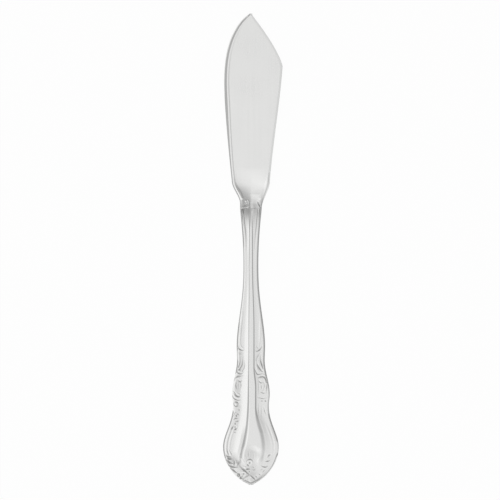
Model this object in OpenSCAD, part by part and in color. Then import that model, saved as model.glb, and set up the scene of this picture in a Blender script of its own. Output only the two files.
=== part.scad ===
// Fish knife with a hollow, fluted handle.
// The blade, its bolster and its tang are one forging. The handle is two stamped shells, brazed
// together round their rims and filled with the cement that holds the tang.
// +Y runs to the blade's tip, +X to its clipped back and +Z up from the table. The origin lies on
// the table, on the handle's centre line, at the middle of the knife's length.

/* [Lengths] */
// Blade, from the handle's mouth to the tip
blade_length = 82.8; // [70:0.1:100]
// Handle, from its mouth to the butt
handle_length = 117.2; // [100:0.1:140]
// Tang, from the handle's mouth to its end inside the handle
tang_length = 62; // [40:0.5:75]

/* [Blade] */
// Reach of the curved, dull edge from the centre line
belly_reach = 11.4; // [9:0.1:14]
// Reach of the back's clipped corner from the centre line
corner_reach = 13.5; // [10:0.1:16]
// Reach of each shoulder from the centre line
shoulder_reach = 8.1; // [6.5:0.1:9]
// Thickness at the shoulder
heel_thickness = 2.3; // [1.6:0.1:3]
// Thickness at the tip
tip_thickness = 1.2; // [0.8:0.1:1.5]
// Width of the bevel ground along the dull edge
belly_bevel = 1.1; // [0.6:0.1:1.6]
// Least thickness left along the dull edge
belly_thickness = 0.4; // [0.2:0.1:0.6]
// Width of the eased back
back_bevel = 0.9; // [0.5:0.1:1.4]
// Depth of that easing on each face
back_ease = 0.15; // [0.05:0.05:0.25]
// Depth of the dished heel between the shoulders
scoop_depth = 0.65; // [0.3:0.05:0.8]
// Width of the blunted tip
tip_width = 1.2; // [0.6:0.1:2]

/* [Handle outline] */
// Width at the mouth, where the bolster meets the handle
mouth_width = 9.2; // [8.4:0.1:11]
// Width at the neck, the narrowest place
neck_width = 6.3; // [5.8:0.1:8]
// Width at the first swell
first_swell_width = 12.0; // [10:0.1:14]
// Width at the waist after the first swell
first_waist_width = 11.7; // [9.5:0.1:13]
// Width at the second swell
second_swell_width = 16.0; // [14:0.1:18]
// Width at the waist after the second swell
second_waist_width = 15.2; // [13:0.1:17]
// Width at the broad end of the handle
terminal_width = 23.6; // [20:0.1:28]
// Width of the blunted butt
butt_width = 2.2; // [1:0.1:3]

/* [Handle section] */
// Depth of the back shell below the seam
back_depth = 2.8; // [2.5:0.1:4]
// Height of the rib above the seam, at the neck
neck_crown = 3.0; // [2.6:0.1:3.6]
// Height of the rib above the seam, at the broad end
terminal_crown = 3.0; // [2.6:0.1:4]
// How much lower the whole section is at the mouth
mouth_drop = 0.65; // [0.3:0.05:0.8]
// Depth of the trough between the rims at the mouth
mouth_trough = 0.7; // [0.3:0.05:0.8]
// How far the rim lies below the top of the rib, at the neck
neck_rim_drop = 0.3; // [0.15:0.05:0.5]
// How far the rim lies below the top of the rib, at the broad end
terminal_rim_drop = 1.0; // [0.6:0.05:1.3]
// Width of the rounded rim
rim_width = 1.8; // [1.2:0.1:2.4]
// Depth of the flutes below the line from rim to rib
flute_depth = 0.35; // [0.15:0.05:0.5]
// Width at which a flute has its full depth; narrower ones are shallower
flute_span = 7.0; // [4:0.1:9]
// Height of the step at each side of the rib, at the neck
neck_rib_step = 0.24; // [0.1:0.02:0.3]
// Height of that step at the end of the rib's flare, on the side of the dull edge
rib_left_step = 0.9; // [0.5:0.05:1]
// Height of that step at the end of the rib's flare, on the side of the back
rib_right_step = 0.6; // [0.4:0.05:0.9]
// Width of the step at the neck
neck_rib_shoulder = 0.45; // [0.3:0.05:0.6]
// Width of the step beside the second swell, on the side of the back
swell_rib_shoulder = 0.75; // [0.5:0.05:1.2]
// Width of the step at the end of the flare, on the side of the dull edge
rib_left_shoulder = 2.8; // [1:0.1:3.4]
// Width of the step at the end of the flare, on the side of the back
rib_right_shoulder = 2.4; // [1:0.1:3]
// Width of the rib at the neck
rib_neck_width = 1.3; // [1:0.1:2]
// Reach of the rib's stem on the side of the dull edge
rib_left_stem = 0.85; // [0.7:0.05:1.5]
// Reach of the rib's stem on the side of the back
rib_right_stem = 1.3; // [0.7:0.05:1.8]
// Reach of the rib beside the second swell, on the side of the back
rib_right_swell = 2.05; // [1.6:0.05:3]
// Reach of the rib's flare on the side of the dull edge
rib_left_flare = 4.25; // [3:0.05:6]
// Reach of the rib's flare on the side of the back
rib_right_flare = 5.75; // [3:0.05:7]
// Depth ground off the back to leave the flat land that the knife rests on
land_depth = 0.25; // [0.15:0.05:0.4]

/* [Construction] */
// Wall of the stamped shells
shell_wall = 0.6; // [0.5:0.05:0.8]
// Thickness of the braze between the shells
seam_thickness = 0.2; // [0.1:0.05:0.3]
// Gap between the bolster's face and the handle's mouth
joint_gap = 0.05; // [0.02:0.01:0.2]
// Gap between the cement and what it holds
cement_gap = 0.1; // [0.05:0.01:0.2]
// Width of the tang at its root
tang_root_width = 4.2; // [3.4:0.1:4.4]
// Thickness of the tang at its root
tang_root_thickness = 2.0; // [1.8:0.1:2.4]
// Width of the tang at its end
tang_end_width = 2.6; // [1.8:0.1:3]
// Thickness of the tang at its end
tang_end_thickness = 1.8; // [1.2:0.1:2]
// How far the tang lies below the seam
tang_drop = 0.6; // [0.4:0.05:0.7]
// How far inside the mouth the cement starts
cement_setback = 1.0; // [0.5:0.1:3]

/* [Hidden] */

// Steps of the lofts: rows run along the knife, and loops run round a section.
handle_rows = 64;
blade_rows = 46;
core_loop = 16;
// Rows gather towards the butt by this power, and towards both ends of the blade by this share.
row_gather_power = 1.3;
blade_gather_share = 0.6;
// Overrun of the cut that leaves the flat land
overrun = 1;

// Places along the handle, as shares of its length from the mouth
neck_share = 0.201;
first_swell_share = 0.496;
first_waist_share = 0.548;
second_swell_share = 0.672;
second_waist_share = 0.712;
terminal_share = 0.862;
mouth_rise_share = 0.075;
rib_start_share = 0.1;
rib_stem_share = 0.44;
rib_left_flare_shares = [0.68, 0.893];
rib_right_swell_shares = [0.57, 0.65];
rib_right_flare_shares = [0.72, 0.868];
rib_right_soft_share = 0.79;
rib_fade_shares = [0.893, 0.923];

// Places along the blade, as shares of its length from the mouth
bolster_share = 0.025;
heel_rise_share = 0.12;
scoop_rise_share = 0.11;
scoop_fall_shares = [0.21, 0.11];
shoulder_share = 0.141;
bevel_full_share = 0.6;
belly_peak_share = 0.639;
corner_share = 0.7286;

// Powers that bend the curves between the named widths, and that round the two ends
mouth_bend = 0.6;
first_swell_bend = 1.3;
second_swell_bend = 1.0;
terminal_bend = 1.15;
even_bend = 1;
butt_round = [2, 0.72];
belly_rise_bend = 1.35;
belly_fall_round = [2.5, 0.72];
back_sway_share = 0.35;
clip_round = [1.32, 1];
rib_flare_bend = 2.2;
rib_step_bend = 3;
rib_growth_bend = 2;
mouth_fall_bend = 2;
trough_bend = 1.25;
heel_ramp_bend = 2;
scoop_bend = 1.5;
rim_bend = 2;
back_round = [3, 0.45];

// Shares that shape a section: across the rib, across the flutes, and round the rim
rib_limit_share = 0.6;
rib_top_least_share = 0.3;
flute_shares = [0.2, 0.5, 0.8];
rim_shares = [0.6, 0.3];
neck_rim_share = 0.65;
mouth_rim_share = 0.6;
panel_crown_share = 0.75;
// Slopes, as rise over run: of the rim at its edge, and of the bevel on the dull edge
rim_slope = 1;
bevel_slope = 0.64;
// Shares that shape the blade: bevel left at the heel, most of the half width that a bevel takes,
// and width of the dished heel
heel_bevel_share = 0.3;
bevel_limit_share = 0.6;
scoop_width_share = 0.85;
// Columns across the back shell, and across the blade inside and outside its bevels
back_shares = [0, 0.3, 0.55, 0.78, 0.93, 1];
blade_shares = [0, 0.2, 0.4, 0.6, 0.8, 0.93, 1];
bevel_shares = [1];

// Derived sizes and places
total_length = blade_length + handle_length;
mouth_y = handle_length - total_length / 2;
seam_z = back_depth;
half_seam = seam_thickness / 2;
core_z = seam_z - tang_drop;
steel = "gainsboro";

function ease(t) = t * t * (3 - 2 * t);
function unit(t) = min(1, max(0, t));
function mix(a, b, t) = a + (b - a) * t;
function share_between(s, start, end) = unit((s - start) / (end - start));

// Value at s in a table of [place, value, bend], eased from each row to the next.
function eased_at(table, s, i = 0) =
    i >= len(table) - 2 || s <= table[i + 1][0]
    ? mix(table[i][1], table[i + 1][1],
          ease(pow(share_between(s, table[i][0], table[i + 1][0]), table[i + 1][2])))
    : eased_at(table, s, i + 1);

// Falls from 1 to 0 as t goes from 0 to 1, along a rounded arch given by two powers.
function arch(t, powers) = pow(max(0, 1 - pow(t, powers[0])), powers[1]);

// Outline of the handle: half its width at a share of its length from the mouth.
handle_table = [
    [0, mouth_width / 2, even_bend],
    [neck_share, neck_width / 2, mouth_bend],
    [first_swell_share, first_swell_width / 2, first_swell_bend],
    [first_waist_share, first_waist_width / 2, even_bend],
    [second_swell_share, second_swell_width / 2, second_swell_bend],
    [second_waist_share, second_waist_width / 2, even_bend],
    [terminal_share, terminal_width / 2, terminal_bend]
];
function handle_reach(s) =
    s <= terminal_share
    ? eased_at(handle_table, s)
    : max(butt_width / 2, terminal_width / 2 * arch(share_between(s, terminal_share, 1), butt_round));

// The shells' inner outline, one wall in from the outer one and never past its middle.
function inset(reach, wall) = reach - min(wall, reach / 2);
function handle_y(s, end_wall = 0) = mouth_y - s * (handle_length - end_wall);

// Sections of the handle: height of the front above the seam, and depth of the back below it.
// x runs across the handle, and side is -1 towards the dull edge and 1 towards the back.
function mouth_fall(s) = pow(1 - share_between(s, 0, mouth_rise_share), mouth_fall_bend);
function crown(s) =
    mix(neck_crown, terminal_crown, ease(share_between(s, neck_share, terminal_share)))
    - mouth_drop * mouth_fall(s);
function end_fall(s) = sqrt(1 - pow(1 - unit(handle_reach(s) / (2 * rim_width)), 2));
function rim_drop(s) = mix(neck_rim_drop, terminal_rim_drop, rib_growth(s, rib_growth_bend));
function rim_reach(s) =
    min(rim_width / 2, neck_rim_share * handle_reach(s) / 2) * mix(1, mouth_rim_share, mouth_fall(s));
function rim_inner(s) = handle_reach(s) - rim_reach(s);

// The rib grows from the neck, and flares more towards the back than towards the dull edge.
function rib_growth(s, bend) = pow(share_between(s, neck_share, rib_left_flare_shares[1]), bend);
// On the side of the back the step rises only past the mouth.
function rib_step(s, side) =
    mix(neck_rib_step, side < 0 ? rib_left_step : rib_right_step, rib_growth(s, rib_step_bend))
    * (side < 0 ? 1 : ease(share_between(s, 0, rib_start_share)));
rib_right_shoulder_table = [
    [neck_share, neck_rib_shoulder, even_bend],
    [rib_right_swell_shares[1], swell_rib_shoulder, even_bend],
    [rib_right_flare_shares[0], swell_rib_shoulder, even_bend],
    [rib_right_soft_share, rib_right_shoulder, even_bend]
];
function rib_shoulder(s, side) =
    side < 0
    ? mix(neck_rib_shoulder, rib_left_shoulder, rib_growth(s, rib_growth_bend))
    : eased_at(rib_right_shoulder_table, s);
rib_right_table = [
    [neck_share, rib_neck_width / 2, even_bend],
    [rib_stem_share, rib_right_stem, even_bend],
    [rib_right_swell_shares[0], rib_right_stem, even_bend],
    [rib_right_swell_shares[1], rib_right_swell, even_bend],
    [rib_right_flare_shares[0], rib_right_swell, even_bend],
    [rib_right_flare_shares[1], rib_right_flare, even_bend]
];
function rib_left_reach(s) =
    mix(mix(rib_neck_width / 2, rib_left_stem, ease(share_between(s, neck_share, rib_stem_share))),
        rib_left_flare,
        pow(share_between(s, rib_left_flare_shares[0], rib_left_flare_shares[1]), rib_flare_bend));
function rib_reach(s, side) = side < 0 ? rib_left_reach(s) : eased_at(rib_right_table, s);
function rib_foot(s, side) =
    min(rib_reach(s, side) + rib_shoulder(s, side) / 2, rim_inner(s) * rib_limit_share);
function rib_top(s, side) =
    max(rib_foot(s, side) - rib_shoulder(s, side), rib_foot(s, side) * rib_top_least_share);
function rib_fade(s) = 1 - ease(share_between(s, rib_fade_shares[0], rib_fade_shares[1]));

// From the middle out: the rib and its step, a flute, and the rim, which rounds down to its edge.
function dome(x, s) = 1 - pow(x / rim_inner(s), 2);
function rim_z(e, s) =
    crown(s) - rim_drop(s) - rim_slope * rim_reach(s) / rim_bend * pow(1 - e / rim_reach(s), rim_bend);
function flute_z(x, s, side) =
    let (foot = rib_foot(s, side),
         t = share_between(x, rim_inner(s), foot))
    mix(crown(s) - rim_drop(s), crown(s) - rib_step(s, side), t)
    - flute_depth * unit((rim_inner(s) - foot) / flute_span) * sin(180 * t);
function ribbed_z(x, s, side) =
    x < rib_foot(s, side)
    ? crown(s) - rib_step(s, side) * ease(share_between(x, rib_top(s, side), rib_foot(s, side)))
    : flute_z(x, s, side);
// Past its flare the rib fades into a crowned panel, and at the mouth it sinks into a trough.
function panel_z(x, s) = crown(s) - rim_drop(s) * (1 - panel_crown_share * dome(x, s));
function trough_z(x, s) = crown(s) - rim_drop(s) - mouth_trough * (1 - pow(x / rim_inner(s), trough_bend));
function front_z(x, s, side) =
    let (e = handle_reach(s) - x)
    end_fall(s) * (e < rim_reach(s)
                   ? rim_z(e, s)
                   : mix(mix(panel_z(x, s), ribbed_z(x, s, side), rib_fade(s)), trough_z(x, s), mouth_fall(s)));
function back_z(x, s) =
    end_fall(s) * (back_depth - half_seam + land_depth) * arch(unit(x / handle_reach(s)), back_round);

// Columns of a section on one side, from the centre line out to the edge.
function front_columns(s, side) =
    let (foot = rib_foot(s, side))
    [0, rib_top(s, side), foot,
     for (t = flute_shares) mix(foot, rim_inner(s), t),
     rim_inner(s), for (t = rim_shares) handle_reach(s) - rim_reach(s) * t, handle_reach(s)];
function back_columns(s) = [for (t = back_shares) t * handle_reach(s)];

// One half of a shell's row, from the centre line out, as [x, height] pairs. depth is 0 on the outer
// face and shell_wall on the inner one, which lies that far in and never past the middle.
function half_row(columns, heights, s, depth) =
    let (w = handle_reach(s), narrow = inset(w, depth) / w)
    [for (k = [0 : len(columns) - 1]) [columns[k] * narrow, inset(heights[k], depth)]];
// The front's side stands upright from the seam, so its last column is there twice.
function front_half(s, side, depth) =
    let (columns = front_columns(s, side))
    half_row([each columns, handle_reach(s)], [for (x = columns) front_z(x, s, side), 0], s, depth);
function back_half(s, depth) =
    let (columns = back_columns(s))
    half_row(columns, [for (x = columns) back_z(x, s)], s, depth);
// The two halves as one row of points from edge to edge, above the seam or below it.
function shell_row(left, right, s, up, depth) =
    let (y = handle_y(s, depth))
    [for (k = [len(left) - 1 : -1 : 1]) [-left[k][0], y, seam_z + up * (half_seam + left[k][1])],
     for (p = right) [p[0], y, seam_z + up * (half_seam + p[1])]];
function front_row(s, depth) = shell_row(front_half(s, -1, depth), front_half(s, 1, depth), s, 1, depth);
function back_row(s, depth) = shell_row(back_half(s, depth), back_half(s, depth), s, -1, depth);

function handle_share(i) = 1 - pow(1 - i / handle_rows, row_gather_power);
handle_shares = [for (i = [0 : handle_rows]) handle_share(i)];

// Two triangles for each cell between rows of points, where a row holds `across` of them.
function cell(a, b, c, d) = [[a, b, c], [a, c, d]];
function flip(faces) = [for (f = faces) [f[0], f[2], f[1]]];
function flatten(lists) = [for (l = lists) each l];
function grid_faces(rows, across, start = 0) = flatten(
    [for (i = [0 : rows - 2], k = [0 : across - 2])
        let (a = start + i * across + k)
        cell(a, a + 1, a + across + 1, a + across)]);
function loop_faces(rows, around, start = 0) = flatten(
    [for (i = [0 : rows - 2], k = [0 : around - 1])
        let (a = start + i * around, n = (k + 1) % around)
        cell(a + k, a + n, a + around + n, a + around + k)]);
function fan_faces(around, start) = [for (k = [1 : around - 2]) [start, start + k, start + k + 1]];

// A sheet with thickness: matching grids for its two faces, closed by strips all round.
module thick_sheet(outer, inner) {
    rows = len(outer);
    across = len(outer[0]);
    in = rows * across;
    last = (rows - 1) * across;
    polyhedron(
        points = concat(flatten(outer), flatten(inner)),
        faces = concat(
            flip(grid_faces(rows, across)),
            grid_faces(rows, across, in),
            flatten([for (k = [0 : across - 2]) cell(k, k + 1, in + k + 1, in + k)]),
            flatten([for (k = [0 : across - 2])
                flip(cell(last + k, last + k + 1, in + last + k + 1, in + last + k))]),
            flatten([for (i = [0 : rows - 2])
                let (a = i * across)
                flip(cell(a, a + across, in + a + across, in + a))]),
            flatten([for (i = [0 : rows - 2])
                let (a = i * across + across - 1)
                cell(a, a + across, in + a + across, in + a)])));
}

// A solid through a row of closed loops.
module loft(loops) {
    around = len(loops[0]);
    rows = len(loops);
    polyhedron(
        points = flatten(loops),
        faces = concat(
            loop_faces(rows, around),
            flip(fan_faces(around, 0)),
            fan_faces(around, (rows - 1) * around)));
}

// The same, with a blind pocket that opens in its first loop.
module pocketed_loft(loops, pocket) {
    around = len(loops[0]);
    rows = len(loops);
    in = rows * around;
    deep = len(pocket);
    polyhedron(
        points = concat(flatten(loops), flatten(pocket)),
        faces = concat(
            loop_faces(rows, around),
            fan_faces(around, (rows - 1) * around),
            flip(loop_faces(deep, around, in)),
            flip(fan_faces(around, in + (deep - 1) * around)),
            flatten([for (k = [0 : around - 1])
                let (n = (k + 1) % around)
                flip(cell(k, n, in + n, in + k))])));
}

// Outline of the blade on each side of the centre line, at a share of its length from the mouth.
function shoulder_side(s, start) =
    mix(mouth_width / 2, shoulder_reach, ease(share_between(s, start, shoulder_share)));
function belly_side(s) =
    s <= shoulder_share ? shoulder_side(s, bolster_share)
    : s <= belly_peak_share
    ? mix(shoulder_reach, belly_reach,
          1 - pow(1 - share_between(s, shoulder_share, belly_peak_share), belly_rise_bend))
    : max(tip_width / 2, belly_reach * arch(share_between(s, belly_peak_share, 1), belly_fall_round));
function sway(t) = mix(t, ease(t), back_sway_share);
function back_side(s) =
    s <= shoulder_share ? shoulder_side(s, 0)
    : s <= corner_share
    ? mix(shoulder_reach, corner_reach, sway(share_between(s, shoulder_share, corner_share)))
    : max(tip_width / 2, corner_reach * arch(share_between(s, corner_share, 1), clip_round));
function blade_side(s, side) = side < 0 ? belly_side(s) : back_side(s);

// Half the blade's thickness, x away from the centre line: a bevel ground along the dull edge, and a
// slightly eased back.
function bevel_width(s, side) =
    min(side < 0
        ? belly_bevel * mix(heel_bevel_share, 1, ease(share_between(s, shoulder_share, bevel_full_share)))
        : back_bevel,
        bevel_limit_share * blade_side(s, side));
function blade_z(x, s, side) =
    let (full = mix(heel_thickness, tip_thickness, share_between(s, shoulder_share, 1)) / 2,
         wide = bevel_width(s, side),
         cut = max(0, wide - blade_side(s, side) + x))
    side < 0 ? max(belly_thickness / 2, full - bevel_slope * cut) : full - back_ease * cut / wide;

// Towards the mouth each face runs into the handle's own section there. The decorated face also has a
// heel that is dished between the shoulders.
function heel_ramp(s) = pow(1 - share_between(s, 0, heel_rise_share), heel_ramp_bend);
function bolster_ramp(s) = 1 - ease(share_between(s, 0, shoulder_share));
function scoop_z(u, s) =
    scoop_depth * sin(90 * share_between(s, 0, scoop_rise_share))
    * ease(share_between(s, scoop_fall_shares[0], scoop_fall_shares[1]))
    * max(0, 1 - pow(u / scoop_width_share, scoop_bend));
function face_z(x, s, side) =
    let (u = x / blade_side(s, side),
         mouth = half_seam + front_z(u * mouth_width / 2, 0, side))
    mix(blade_z(x, s, side), mouth, heel_ramp(s)) - scoop_z(u, s);
function reverse_z(x, s, side) =
    let (u = x / blade_side(s, side),
         mouth = min(half_seam + back_z(u * mouth_width / 2, 0), back_depth))
    mix(blade_z(x, s, side), mouth, bolster_ramp(s));

// A loop runs over the face from the dull edge to the back, and under it on the reverse.
function blade_columns(s, side) =
    let (reach = blade_side(s, side), wide = bevel_width(s, side))
    [for (t = blade_shares) t * (reach - wide), for (t = bevel_shares) reach - wide * (1 - t)];
function blade_loop(s) =
    let (y = mouth_y + joint_gap + s * (blade_length - joint_gap),
         left = blade_columns(s, -1),
         right = blade_columns(s, 1),
         n = len(left))
    [for (k = [n - 1 : -1 : 1]) [-left[k], y, seam_z + face_z(left[k], s, -1)],
     for (x = right) [x, y, seam_z + face_z(x, s, 1)],
     for (k = [n - 1 : -1 : 1]) [right[k], y, seam_z - reverse_z(right[k], s, 1)],
     for (x = left) [-x, y, seam_z - reverse_z(x, s, -1)]];
function blade_share(i) =
    let (v = i / blade_rows)
    mix(v, (1 - cos(180 * v)) / 2, blade_gather_share);

// An oval loop round the tang's axis, starting on the side of the dull edge as a blade loop does.
function oval(reach, rise, fall, y, z, around) =
    [for (k = [0 : around - 1])
        let (a = 180 - 360 * k / around)
        [reach * cos(a), y, z + (sin(a) > 0 ? rise : fall) * sin(a)]];
function tang_loop(t, y, gap, around) =
    let (half = mix(tang_root_thickness, tang_end_thickness, t) / 2 + gap)
    oval(mix(tang_root_width, tang_end_width, t) / 2 + gap, half, half, y, core_z, around);

module blade() {
    around = len(blade_loop(0));
    color(steel)
        loft([tang_loop(1, mouth_y - tang_length, 0, around),
              tang_loop(0, mouth_y + joint_gap, 0, around),
              for (i = [0 : blade_rows]) blade_loop(blade_share(i))]);
}

module front_shell() {
    color(steel)
        thick_sheet([for (s = handle_shares) front_row(s, 0)],
                    [for (s = handle_shares) front_row(s, shell_wall)]);
}

module back_shell() {
    color(steel)
        difference() {
            thick_sheet([for (s = handle_shares) flip_row(back_row(s, 0))],
                        [for (s = handle_shares) flip_row(back_row(s, shell_wall))]);
            translate([-terminal_width, -total_length, -overrun])
                cube([2 * terminal_width, 2 * total_length, overrun]);
        }
}
function flip_row(row) = [for (k = [len(row) - 1 : -1 : 0]) row[k]];

module seam_braze() {
    right = [for (s = handle_shares) [handle_reach(s), handle_y(s)]];
    right_inner = [for (s = handle_shares) [inset(handle_reach(s), shell_wall), handle_y(s, shell_wall)]];
    left = [for (p = flip_row(right)) [-p[0], p[1]]];
    left_inner = [for (p = right_inner) [-p[0], p[1]]];
    color("khaki")
        translate([0, 0, seam_z - half_seam])
            linear_extrude(seam_thickness)
                polygon(concat(right, left, left_inner, flip_row(right_inner)));
}

// The cement fills the shells up to the lowest line under the flutes.
function core_rise(s) =
    let (heights = [for (side = [-1, 1], x = front_columns(s, side)) if (x <= rim_inner(s)) front_z(x, s, side)])
    inset(min(heights), shell_wall) + half_seam - cement_gap;
function core_fall(s) =
    let (top = back_z(0, s))
    inset(top, shell_wall) + half_seam - cement_gap;
function core_oval(s) =
    let (reach = inset(handle_reach(s), shell_wall))
    oval(reach - min(cement_gap, reach / 2), max(core_rise(s), cement_gap), max(core_fall(s), cement_gap),
         handle_y(s, shell_wall + cement_gap), seam_z, core_loop);

module cement_core() {
    first = cement_setback / handle_length;
    inside = [first, for (s = handle_shares) if (s > first) s];
    color("tan")
        pocketed_loft(
            [for (s = inside) core_oval(s)],
            [for (t = [0, 1])
                tang_loop(t, mix(handle_y(first, shell_wall + cement_gap), mouth_y - tang_length - cement_gap, t),
                          cement_gap, core_loop)]);
}

blade();
front_shell();
back_shell();
seam_braze();
cement_core();
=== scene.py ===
"""Looks of a fish knife with a broad dull blade and a hollow, fluted and scrolled handle.

Each piece is a surface worked out on a grid, in millimetres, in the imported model's own frame: +Y runs to the
blade's tip, +X to its clipped back and +Z up from the table. Its mesh is made in metres.
"""

import logging
import math
from dataclasses import dataclass
from enum import Enum

import bpy
import numpy as np
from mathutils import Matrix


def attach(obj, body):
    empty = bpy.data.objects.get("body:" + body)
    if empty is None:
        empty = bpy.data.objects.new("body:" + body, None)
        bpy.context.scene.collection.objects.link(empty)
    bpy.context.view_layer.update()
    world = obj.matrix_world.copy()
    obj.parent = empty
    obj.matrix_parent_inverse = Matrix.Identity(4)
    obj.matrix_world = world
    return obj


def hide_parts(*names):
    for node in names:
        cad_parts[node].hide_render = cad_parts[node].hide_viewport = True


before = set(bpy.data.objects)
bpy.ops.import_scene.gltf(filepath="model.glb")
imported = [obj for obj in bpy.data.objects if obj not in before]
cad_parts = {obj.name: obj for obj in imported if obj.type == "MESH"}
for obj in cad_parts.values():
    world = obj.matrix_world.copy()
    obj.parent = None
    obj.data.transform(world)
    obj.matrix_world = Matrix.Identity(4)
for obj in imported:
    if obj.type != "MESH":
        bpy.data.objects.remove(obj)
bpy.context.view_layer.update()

Array = np.ndarray
Pair = tuple[float, float]
Points = tuple[Pair, ...]
Rows = tuple[tuple[float, float, float], ...]
LOG = logging.getLogger("fish_knife")
MM = 0.001
TINY = 1e-9
BODY = "root"
# Sockets of a Mix node that mixes colours
MIX_A, MIX_B, MIX_OUT = 6, 7, 2


def unit(t: Array) -> Array:
    """Limits a share to the range from 0 to 1."""
    return np.clip(t, 0.0, 1.0)


def mix(a: Array, b: Array, t: Array) -> Array:
    """Goes straight from a to b as t goes from 0 to 1."""
    return a + (b - a) * t


def ease(t: Array) -> Array:
    """Goes from 0 to 1 with level ends: three t squared less two t cubed."""
    return t * t * (3.0 - 2.0 * t)


def share_between(s: Array, start: float | Array, end: float | Array) -> Array:
    """How far s has gone from start to end, held between 0 and 1."""
    return unit((s - start) / (end - start))


def eased_at(rows: Rows, s: Array) -> Array:
    """Value at s in rows of place, value and bend, eased from each row to the next."""
    out = np.full(np.shape(s), rows[0][1])
    for (a, value_a, _), (b, value_b, bend) in zip(rows, rows[1:]):
        out = np.where(s >= a, mix(value_a, value_b, ease(share_between(s, a, b) ** bend)), out)
    return out


def arch(t: Array, powers: Pair) -> Array:
    """Falls from 1 to 0 along a rounded arch: one less t to the first power, all to the second."""
    return np.maximum(0.0, 1.0 - t ** powers[0]) ** powers[1]


def quarter(t: Array) -> Array:
    """Rises from 0 to 1 along a quarter of a circle that starts upright."""
    return np.sqrt(1.0 - (1.0 - unit(t)) ** 2)


def soft_min(a: Array, b: Array, rounding: float) -> Array:
    """The lesser of two heights, with the crease between them rounded off.

    Half the sum of a and b, less half the root of their difference squared plus the rounding squared.
    """
    return 0.5 * (a + b - np.sqrt((a - b) ** 2 + rounding * rounding))


def closing(count: int, power: float) -> Array:
    """Shares from 0 to 1 that draw closer together: one less a power of what is left."""
    return 1.0 - (1.0 - np.linspace(0.0, 1.0, count)) ** power


def hex_colour(code: str) -> tuple[float, float, float, float]:
    """Turns an sRGB hex colour into linear red, green, blue and alpha, by the standard's own curve."""
    parts = np.array([int(code[i : i + 2], 16) for i in (1, 3, 5)]) / 255.0
    linear = np.where(parts <= 0.04045, parts / 12.92, ((parts + 0.055) / 1.055) ** 2.4)
    return (*linear.tolist(), 1.0)


class Shape:
    """Gathers points and the faces between them, and turns them into the mesh of one piece."""

    def __init__(self) -> None:
        """Starts with no points and no faces."""
        self.points: list[Array] = []
        self.reliefs: list[Array] = []
        self.faces: list[list[int]] = []
        self.count = 0

    def add_points(self, points: Array, relief: Array | None = None) -> Array:
        """Adds points in mm.

        Args:
            points: array whose last axis holds x, y and z.
            relief: height of the carving at each point, 0 where there is none.

        Returns:
            The points' numbers, in the layout of the array.
        """
        layout = points.shape[:-1]
        total = math.prod(layout)
        ids = self.count + np.arange(total).reshape(layout)
        self.points.append(points.reshape(-1, 3))
        self.reliefs.append(np.zeros(total) if relief is None else relief.reshape(-1))
        self.count += total
        return ids

    def add_quads(self, ids: Array, flip: bool = False, wrap: bool = False) -> None:
        """Adds the four-sided faces between neighbouring rows and columns of numbers.

        Args:
            ids: the points' numbers, a row along the second axis.
            flip: turns the faces over.
            wrap: joins each row's last column to its first.
        """
        if wrap:
            ids = np.concatenate([ids, ids[:, :1]], axis=1)
        a, b, c, d = ids[:-1, :-1], ids[1:, :-1], ids[1:, 1:], ids[:-1, 1:]
        corners = (d, c, b, a) if flip else (a, b, c, d)
        self.faces += np.stack(corners, axis=-1).reshape(-1, 4).tolist()

    def add_cap(self, ids: Array, flip: bool = False) -> None:
        """Closes a flat loop of points with one face."""
        self.faces.append((ids[::-1] if flip else ids).tolist())

    def zip_loops(self, a: Array, a_place: Array, b: Array, b_place: Array) -> None:
        """Joins two loops that have different numbers of points, with triangles.

        Each step along a loop makes a triangle with the point that the other loop has reached there.

        Args:
            a: numbers of one loop's points, its first point repeated at the end.
            a_place: rising places of those points along the loop.
            b: numbers of the other loop's points.
            b_place: rising places of those points along the same measure.
        """
        reached_b = np.searchsorted(b_place[1:], a_place[1:], side="left")
        reached_a = np.searchsorted(a_place[1:], b_place[1:], side="right")
        self.faces += np.stack([a[1:], a[:-1], b[reached_b]], axis=-1).tolist()
        self.faces += np.stack([b[:-1], b[1:], a[reached_a]], axis=-1).tolist()

    def make(self, name: str, crease: float = 40.0) -> bpy.types.Object:
        """Makes the mesh and its object, at the origin.

        Args:
            name: the piece's name.
            crease: angle in degrees past which an edge stays sharp.

        Returns:
            The new object.
        """
        mesh = bpy.data.meshes.new(name)
        mesh.from_pydata((np.concatenate(self.points) * MM).tolist(), [], self.faces)
        relief = mesh.attributes.new("relief", "FLOAT", "POINT")
        relief.data.foreach_set("value", np.concatenate(self.reliefs).astype(np.float32))
        mesh.shade_smooth()
        mesh.set_sharp_from_angle(angle=math.radians(crease))
        mesh.update()
        piece = bpy.data.objects.new(name, mesh)
        bpy.context.scene.collection.objects.link(piece)
        return piece


def border_loop(ids: Array, points: Array) -> tuple[Array, Array]:
    """The edge of a grid as one loop, which goes straight across at the last row.

    Args:
        ids: the grid's numbers.
        points: the grid's points.

    Returns:
        The numbers round the edge, with the first repeated at the end, and their places: each side of the
        grid takes one unit, shared out by the distance along it.
    """
    ends = [0, -1]
    sides = ((ids[:, 0], points[:, 0]), (ids[-1, ends], points[-1, ends]),
             (ids[::-1, -1], points[::-1, -1]), (ids[0, ::-1], points[0, ::-1]))
    loop, places = [], []
    for k, (numbers, line) in enumerate(sides):
        along = np.cumsum(np.linalg.norm(np.diff(line, axis=0), axis=1))
        loop.append(numbers[:-1])
        places.append(k + np.concatenate([[0.0], along[:-1] / along[-1]]))
    return np.concatenate(loop + [loop[0][:1]]), np.concatenate(places + [[float(len(sides))]])


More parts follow.
